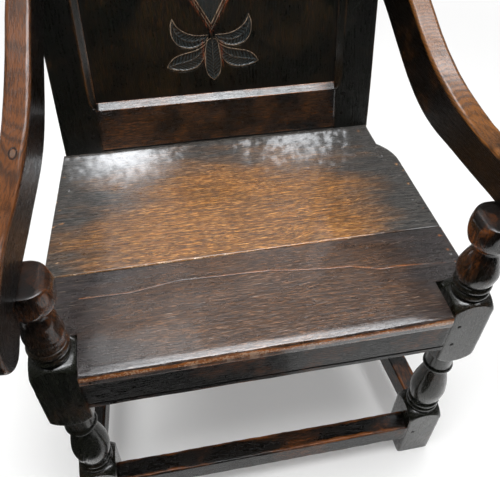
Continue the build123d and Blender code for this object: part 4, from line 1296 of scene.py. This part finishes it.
def end_group(t, geometry, finish):
    """Real geometry with its finish, as the group's result."""
    real = t.node("GeometryNodeRealizeInstances", None, {"Geometry": geometry})
    finished = t.node("GeometryNodeSetMaterial", None, {"Geometry": real, "Material": finish})
    t.node("NodeGroupOutput", None, {"Geometry": finished})


def applied(name, data, node_group, values):
    """The plain mesh that a node group makes, its inputs set by the identifiers of their sockets."""
    holder = add_object(name, data)
    modifier = holder.modifiers.new("shape", "NODES")
    modifier.node_group = node_group
    for socket in node_group.interface.items_tree:
        if socket.item_type == "SOCKET" and socket.in_out == "INPUT" and socket.name in values:
            modifier[socket.identifier] = values[socket.name]
    bpy.context.view_layer.update()
    evaluated = holder.evaluated_get(bpy.context.evaluated_depsgraph_get())
    mesh = bpy.data.meshes.new_from_object(evaluated)
    holder.modifiers.remove(modifier)
    bpy.data.objects.remove(holder)
    return mesh


def points_of(mesh):
    """A mesh's points, in millimetres."""
    flat = np.zeros(len(mesh.vertices) * 3, np.float32)
    mesh.vertices.foreach_get("co", flat)
    return flat.reshape(-1, 3).astype(float) * MM


turning, t, given = group("turn_from_square", [
    ("Outline", "NodeSocketObject"), ("Half Width", "NodeSocketFloat"), ("Squareness", "NodeSocketFloat"),
    ("Rows", "NodeSocketInt"), ("Sides", "NodeSocketInt"), ("Finish", "NodeSocketMaterial")])
stick = t.node("GeometryNodeMeshCylinder", {"fill_type": "TRIANGLE_FAN"},
               {"Vertices": given["Sides"], "Side Segments": given["Rows"], "Fill Segments": 6,
                "Radius": 1.0, "Depth": 1.0})
x, y, z = t.parts(t.node("GeometryNodeInputPosition"))
spoke = t.maths("SQRT", x * x + y * y)
reach = t.maths("MAXIMUM", spoke, 0.0001)
cosine, sine = x / reach, y / reach
info = t.node("GeometryNodeObjectInfo", {"transform_space": "ORIGINAL"}, {"Object": given["Outline"]})
sample = t.node("GeometryNodeSampleCurve", {"mode": "FACTOR"},
                {"Curves": info.beside("Geometry"), "Factor": z + 0.5})
turned, _, height = t.parts(sample.beside("Position"))
power = given["Squareness"]
square = given["Half Width"] / ((t.maths("ABSOLUTE", cosine) ** power
                                 + t.maths("ABSOLUTE", sine) ** power) ** (1.0 / power))
radius = t.maths("MINIMUM", turned, square) * spoke
place = t.node("ShaderNodeCombineXYZ", None, {0: radius * cosine, 1: radius * sine, 2: height})
shaped = t.node("GeometryNodeSetPosition", None, {"Geometry": stick, "Position": place})
end_group(t, shaped, given["Finish"])
print("nodes in the leg tree", len(turning.nodes))

# %% The two legs
LEG_LEAN = 5.0                   # the left leg stands out by this much above its lower turning
INNER_ROUND = 14.0               # the top block's inner upper edge, rubbed round
LEG_ROWS, LEG_SIDES = 620, 112
SQUARENESS = 30.0                # how sharp the stick's corners are
CREST_ROWS, CREST_WINDOW = 1200, 33   # the outline's crests stand out from its mean over this many rows


def front_leg(side, hand, full_above, seed):
    points = leg_outline(full_above)
    drawn = outline_curve(f"leg_outline_{hand}", points)
    mesh = applied(f"leg_{hand}_stick", bpy.data.meshes.new("stick"), turning,
                   {"Outline": drawn, "Half Width": leg_half / MM, "Squareness": SQUARENESS,
                    "Rows": LEG_ROWS, "Sides": LEG_SIDES, "Finish": finishes["leg_oak"]})
    bpy.data.objects.remove(drawn)
    p = points_of(mesh)
    spread = np.hypot(p[:, 0], p[:, 1])
    heights = np.array([h for _, h in points])
    radii = np.minimum([r for r, _ in points], 33.0)
    even_heights = np.linspace(0, arm_level, CREST_ROWS)
    turned = np.interp(even_heights, heights, radii)
    window = np.hanning(CREST_WINDOW) / np.hanning(CREST_WINDOW).sum()
    mean = np.convolve(np.pad(turned, CREST_WINDOW // 2, "edge"), window, "valid")
    crest = np.interp(p[:, 2], even_heights, turned - mean)
    corner = np.hypot(leg_half - np.abs(p[:, 0]), leg_half - np.abs(p[:, 1]))
    wear = worn(corner, p, seed, 4.5) + 0.5 * np.clip(crest / 2.2, 0, 1) * (0.6 + 0.6 * lumps(p, 40, seed))
    # the inner side above the seat is rubbed lighter: hand wear, and a painted sheen on the side facing the
    # seat
    inner_side_sheen_and_wear = step(-p[:, 0] / np.maximum(spread, 1), 0.1, 0.9) * step(p[:, 2], 450, 490)
    wear = wear + inner_side_sheen_and_wear * (0.42 + 0.25 * lumps(p, 30, seed + 8))
    # darker in the coves of the turning: dirt and painted shade in the creases
    hollow = np.clip(-crest / 2.6, 0, 1)
    rub = 0.18 * lumps(p, 26, seed + 4) + 0.7 * np.clip(lumps(p, 9, seed + 5), 0, 1) * np.exp(-corner / 3)
    p[:, :2] *= (1 - rub / np.maximum(spread, 8))[:, None]
    inward = leg_half + p[:, 0]
    p[:, 2] -= rounded(inward, INNER_ROUND) * step(p[:, 2], arm_level - 22, arm_level)
    grain = along_grain(p, "z", seed)
    if side < 0:
        p[:, 0] += LEG_LEAN * step(p[:, 2], 150, 400)
    p[:, 0] = side * (p[:, 0] + leg_middle[0])
    p[:, 1] += leg_middle[1]
    mesh.vertices.foreach_set("co", (p / MM).astype(np.float32).ravel())
    set_attributes(mesh, {"wear": np.clip(wear, 0, 1), "hollow": hollow, "grain": grain})
    if side < 0:
        mesh.flip_normals()
    mesh.shade_smooth()
    return dress(f"front_leg_{hand}_turned", mesh, [f"front_leg_{hand}"], "frame_oak", "leg_oak")


front_leg(1, "right", 29.5, 81)
front_leg(-1, "left", 26.5, 82)

# %% [markdown]
# ## Wooden pegs
# A peg is split from straight oak, tapered with a knife and driven through the joint until its head is
# almost flush. It never is quite round. Geometry Nodes set one such peg at each place, sized as its solid
# and turned at random.

# %% Where the pegs are
PROUD = 0.5                      # a head stands out this far
PEG_ORDER = (1.0, 0.73, 0.37)    # pegs are taken in their order along this slanting direction


def peg_places(node, outward):
    """Head, direction inwards, length and radius of each peg of a solid, always in the same order."""
    work = bmesh.new()
    work.from_mesh(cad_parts[node].data)
    bmesh.ops.remove_doubles(work, verts=work.verts, dist=1e-6)
    left, found = set(work.verts), []
    while left:
        island, queue = [], [left.pop()]
        while queue:
            vert = queue.pop()
            island.append(vert.co[:])
            for edge in vert.link_edges:
                other = edge.other_vert(vert)
                if other in left:
                    left.remove(other)
                    queue.append(other)
        p = np.array(sorted(island)) * MM
        centre = (p.min(0) + p.max(0)) / 2
        axis = np.linalg.svd(p - p.mean(0))[2][0]
        axis = axis if axis @ outward(centre) > 0 else -axis
        run = (p - centre) @ axis
        rim = np.linalg.norm(p - centre - run[:, None] * axis, axis=1).max()
        found.append((centre + axis * (run.max() + PROUD), -axis, run.max() - run.min() + PROUD, rim))
    work.free()
    return sorted(found, key=lambda peg: peg[0] @ PEG_ORDER)


pegging, t, given = group("drive_pegs", [("Finish", "NodeSocketMaterial"), ("Seed", "NodeSocketInt")])
cone = t.node("GeometryNodeMeshCylinder", {"fill_type": "TRIANGLE_FAN"},
              {"Vertices": 14, "Side Segments": 6, "Fill Segments": 3, "Radius": 1.0, "Depth": 1.0})
x, y, z = t.parts(t.node("GeometryNodeInputPosition"))
down = z + 0.5
slim = 1.0 - down * 0.16
rim = t.maths("MINIMUM", t.maths("SQRT", x * x + y * y), 1.0)
dome = (1.0 - down) * (1.0 - down)
place = t.node("ShaderNodeCombineXYZ", None, {0: x * slim, 1: y * slim,
                                              2: 0.0 - down - rim * rim * 0.018 * dome})
peg = t.node("GeometryNodeSetPosition", None, {"Geometry": cone, "Position": place})
aim, size = (t.node("GeometryNodeInputNamedAttribute", {"data_type": "FLOAT_VECTOR"}, {"Name": name})
             for name in ("aim", "size"))
twist = t.node("FunctionNodeRandomValue", {"data_type": "FLOAT"},
               {2: 0.0, 3: 6.283, "Seed": given["Seed"]}, 1)
turned = t.node("FunctionNodeAlignRotationToVector", {"axis": "Z"}, {"Vector": aim})
spun = t.node("FunctionNodeRotateRotation", {"rotation_space": "LOCAL"}, {0: turned, 1: t.node(
    "FunctionNodeAxisAngleToRotation", None, {"Axis": (0, 0, 1), "Angle": twist})})
driven = t.node("GeometryNodeInstanceOnPoints", None,
                {"Points": given["Geometry"], "Instance": peg, "Rotation": spun, "Scale": size})
end_group(t, driven, given["Finish"])


def side_of(centre):
    return np.array([math.copysign(1, centre[0]), 0, 0])


facings = {"front_frame_pegs": lambda c: np.array([0, -1, 0]), "side_frame_pegs": side_of,
           "rear_frame_pegs": lambda c: np.array([0, 1, 0]), "back_pegs": lambda c: np.array([0, -1, 0]),
           "arm_pegs": side_of, "seat_pegs": lambda c: np.array([0, 0, 1])}
for seed, (node, outward) in enumerate(facings.items()):
    places = peg_places(node, outward)
    cloud = bpy.data.meshes.new(node)
    cloud.from_pydata([tuple(head / MM) for head, *_ in places], [], [])
    set_attributes(cloud, {"aim": [-inwards for _, inwards, _, _ in places],
                           "size": [(r / MM, r / MM, l / MM) for _, _, l, r in places]})
    mesh = applied(node + "_heads", cloud, pegging, {"Finish": finishes["peg_oak"], "Seed": seed})
    p = points_of(mesh)
    set_attributes(mesh, {"wear": np.full(len(p), 0.12), "hollow": np.zeros(len(p)),
                          "grain": p[:, [0, 2, 1]] / MM})
    mesh.shade_smooth()
    dress(node + "_driven", mesh, [node], "peg_oak", "seat_rear" if node == "seat_pegs" else None)
    print(node, len(places), "pegs")

# %% [markdown]
# ## Floor, light and camera
# The chair stands on white paper. Two large soft lamps light it and don't show in its gloss. What shines
# sees other things: a soft light box above, a studio that is bright behind the chair and dim in front of
# it, and dark cards on the floor. That keeps old oak black in its front faces and silvery on its level
# ones. Two small lamps draw the blotches of gloss at the back of the seat. The floor shows a part of its
# white by itself, so that it stays pale and keeps the shadow, and far away it shows all of it.

# %% The floor
PAPER_GLOW = 0.28                # the share of its white that the floor shows by itself
FLOOR = 5.0                      # half its width, in metres
WHITE = (1, 1, 1, 1)


def floor_finish():
    material, t = start_finish("white_paper")
    seen_by_camera = t.node("ShaderNodeLightPath")
    away = t.vector("LENGTH", t.node("ShaderNodeTexCoord", out="Object"), out="Value")
    mirrored = seen_by_camera.beside("Is Glossy Ray") * PAPER_GLOW
    seen = t.maths("MAXIMUM", seen_by_camera * t.soft(away, 0.9, 2.6, PAPER_GLOW, 1.0), mirrored)
    paper = t.node("ShaderNodeBsdfDiffuse", None, {"Color": (0.97, 0.97, 0.965, 1)})
    glow = t.node("ShaderNodeEmission", None, {"Color": WHITE, "Strength": 1.0})
    surface = t.node("ShaderNodeMixShader", None, {0: seen, 1: paper, 2: glow})
    t.node("ShaderNodeOutputMaterial", None, {"Surface": surface})
    return material


def card(name, low, high, material):
    """A flat, level sheet that isn't part of the chair."""
    (x0, y0, level), (x1, y1) = low, high
    sheet = bpy.data.meshes.new(name)
    sheet.from_pydata([(x0, y0, level), (x1, y0, level), (x1, y1, level), (x0, y1, level)], [],
                      [(0, 1, 2, 3)])
    sheet.materials.append(material)
    made = add_object(name, sheet)
    return made


card("floor", (-FLOOR, -FLOOR, 0.0), (FLOOR, FLOOR), floor_finish())

# %% Cards that only the gloss of the wood sees
SKY_HEIGHT = 3.2
SKY_STRENGTH = 9.0


def only_gloss(sheet):
    for ray in ("camera", "diffuse", "shadow", "transmission"):
        setattr(sheet, "visible_" + ray, False)


black, t = start_finish("black_card")
dark = t.node("ShaderNodeBsdfDiffuse", None, {"Color": (0.01, 0.01, 0.01, 1)})
t.node("ShaderNodeOutputMaterial", None, {"Surface": dark})
for name, low, high in (("dark_card_front", (-2.0, -1.8, 0.003), (0.10, -0.38)),
                        ("dark_card_left", (-2.0, -0.38, 0.003), (-0.37, 1.4)),
                        ("dark_card_far", (-5.0, -5.0, 0.002), (5.0, -1.1))):
    only_gloss(card(name, low, high, black))


def sky_finish():
    """A soft light box: dimmer to the left behind, and brightest in front."""
    material, t = start_finish("sky_card")
    place = t.node("ShaderNodeTexCoord", out="Object")
    x, y, _ = t.parts(place)
    share = t.soft(x, -0.85, -0.35, 0.1, 1.0) * t.soft(x, 2.5, 2.0)
    share = share * t.soft(y, 1.5, 0.8) * t.soft(y, -1.2, -0.8)
    dim = t.soft(y, -0.4, 0.1) * t.soft(x, 0.1, -0.7)
    blotch = t.soft(t.noise(place, 1.1, detail=3, roughness=0.6), 0.35, 0.62, 0.45, 1.0)
    front = t.soft(y, -0.35, -0.6, 1.0, 2.0) * SKY_STRENGTH
    glow = t.node("ShaderNodeEmission", None, {"Color": (0.95, 0.97, 1.0, 1), "Strength": front})
    clear = t.node("ShaderNodeBsdfTransparent", None, {"Color": WHITE})
    surface = t.node("ShaderNodeMixShader", None, {0: share * (1.0 - dim * 0.5) * blotch, 1: clear, 2: glow})
    t.node("ShaderNodeOutputMaterial", None, {"Surface": surface})
    return material


only_gloss(card("sky_card", (-1.7, -1.3, SKY_HEIGHT), (2.6, 1.9), sky_finish()))

# %% The studio round it
world = bpy.data.worlds.new("studio")
bpy.context.scene.world = world
world.use_nodes = True
t = Tree(world.node_tree)
_, y, z = t.parts(t.node("ShaderNodeTexCoord", out="Generated"))
behind = t.soft(y + z * 0.5, -0.1, 0.8, 0.03, 0.26)
strength = t.maths("MAXIMUM", t.node("ShaderNodeLightPath"), behind)
back = t.node("ShaderNodeBackground", None, {"Color": WHITE, "Strength": strength})
t.node("ShaderNodeOutputWorld", None, {"Surface": back})

# %% The lamps
GLOW_FOOT = (0.184, 0.4405)      # where a glow's lower edge lies, by the back rail: y and z
GLOW_SLANT = 0.44                # its rise for each step forwards


def soft_light(name, place, target, size, watts, glossy=True):
    """A soft lamp that looks at a target. One that isn't glossy doesn't show in what shines."""
    lamp = bpy.data.lights.new(name, "AREA")
    lamp.shape = "RECTANGLE"
    lamp.size, lamp.size_y = size
    lamp.energy = watts
    made = add_object(name, lamp)
    made.location = place
    made.rotation_euler = (Vector(target) - Vector(place)).to_track_quat("-Z", "Y").to_euler()
    made.visible_camera = False
    made.visible_glossy = glossy
    return made


def low_glow(name, across, half, strength, blotch):
    """A small blotchy lamp that leans over the back of the seat and shows only in its gloss."""
    foot, low = GLOW_FOOT
    reach = half[1]
    middle = (across, foot - reach / 2, low + reach / 2 * GLOW_SLANT)
    size = (2 * half[0], reach * math.hypot(1, GLOW_SLANT))
    made = soft_light(name, middle, (middle[0], middle[1] - GLOW_SLANT, middle[2] - 1), size,
                      math.pi * size[0] * size[1] * strength)
    made.visible_diffuse = made.visible_transmission = False
    made.data.use_nodes = True
    t = Tree(made.data.node_tree)
    place = t.node("ShaderNodeNewGeometry", out="Position")
    spread = t.distance(place, (across, foot - 0.006, 0.0), 1 / half[0], 1 / half[1], 0.0)
    noise = t.noise(place, 80.0, detail=3, roughness=0.6)
    share = t.soft(spread + (noise - 0.5) * blotch, 1.0, 0.0)
    glow = t.node("ShaderNodeEmission", None, {"Color": (0.93, 0.96, 1.0, 1), "Strength": share * share})
    t.node("ShaderNodeOutputLight", None, {"Surface": glow})


soft_light("overhead", (0.55, -0.15, 3.3), (0.1, -0.1, 0.4), (2.4, 1.5), 100, glossy=False)
soft_light("fill", (-1.2, -0.4, 3.0), (-0.1, -0.1, 0.4), (1.8, 1.8), 62, glossy=False)
soft_light("rear_high", (-0.3, 1.15, 2.5), (-0.1, -0.3, 0.44), (0.6, 0.3), 1.0)
low_glow("glow_left", -0.185, (0.15, 0.085), 9.0, 1.1)
low_glow("glow_right", 0.14, (0.13, 0.075), 4.2, 3.4)

# %% The camera
# It stands in front of the chair, close and high, and looks down on the seat.
CAMERA_PLACE = (-0.13279, -0.71870, 1.09387)
CAMERA_TURN = math.radians(11.868)
CAMERA_DOWN = math.radians(45.199)
CAMERA_ROLL = math.radians(1.079)
CAMERA_LENS = 42.21
forward = Vector((math.sin(CAMERA_TURN) * math.cos(CAMERA_DOWN),
                  math.cos(CAMERA_TURN) * math.cos(CAMERA_DOWN), -math.sin(CAMERA_DOWN)))
right = Vector((math.cos(CAMERA_TURN), -math.sin(CAMERA_TURN), 0))
up = right.cross(forward)
side_axis = right * math.cos(CAMERA_ROLL) + up * math.sin(CAMERA_ROLL)
up_axis = up * math.cos(CAMERA_ROLL) - right * math.sin(CAMERA_ROLL)
lens = bpy.data.cameras.new("camera")
lens.lens, lens.sensor_width = CAMERA_LENS, 36.0
camera = add_object("camera", lens)
camera.matrix_world = Matrix((
    (side_axis.x, up_axis.x, -forward.x, CAMERA_PLACE[0]),
    (side_axis.y, up_axis.y, -forward.y, CAMERA_PLACE[1]),
    (side_axis.z, up_axis.z, -forward.z, CAMERA_PLACE[2]),
    (0, 0, 0, 1)))
bpy.context.scene.camera = camera
bpy.context.scene.view_settings.view_transform = "Standard"
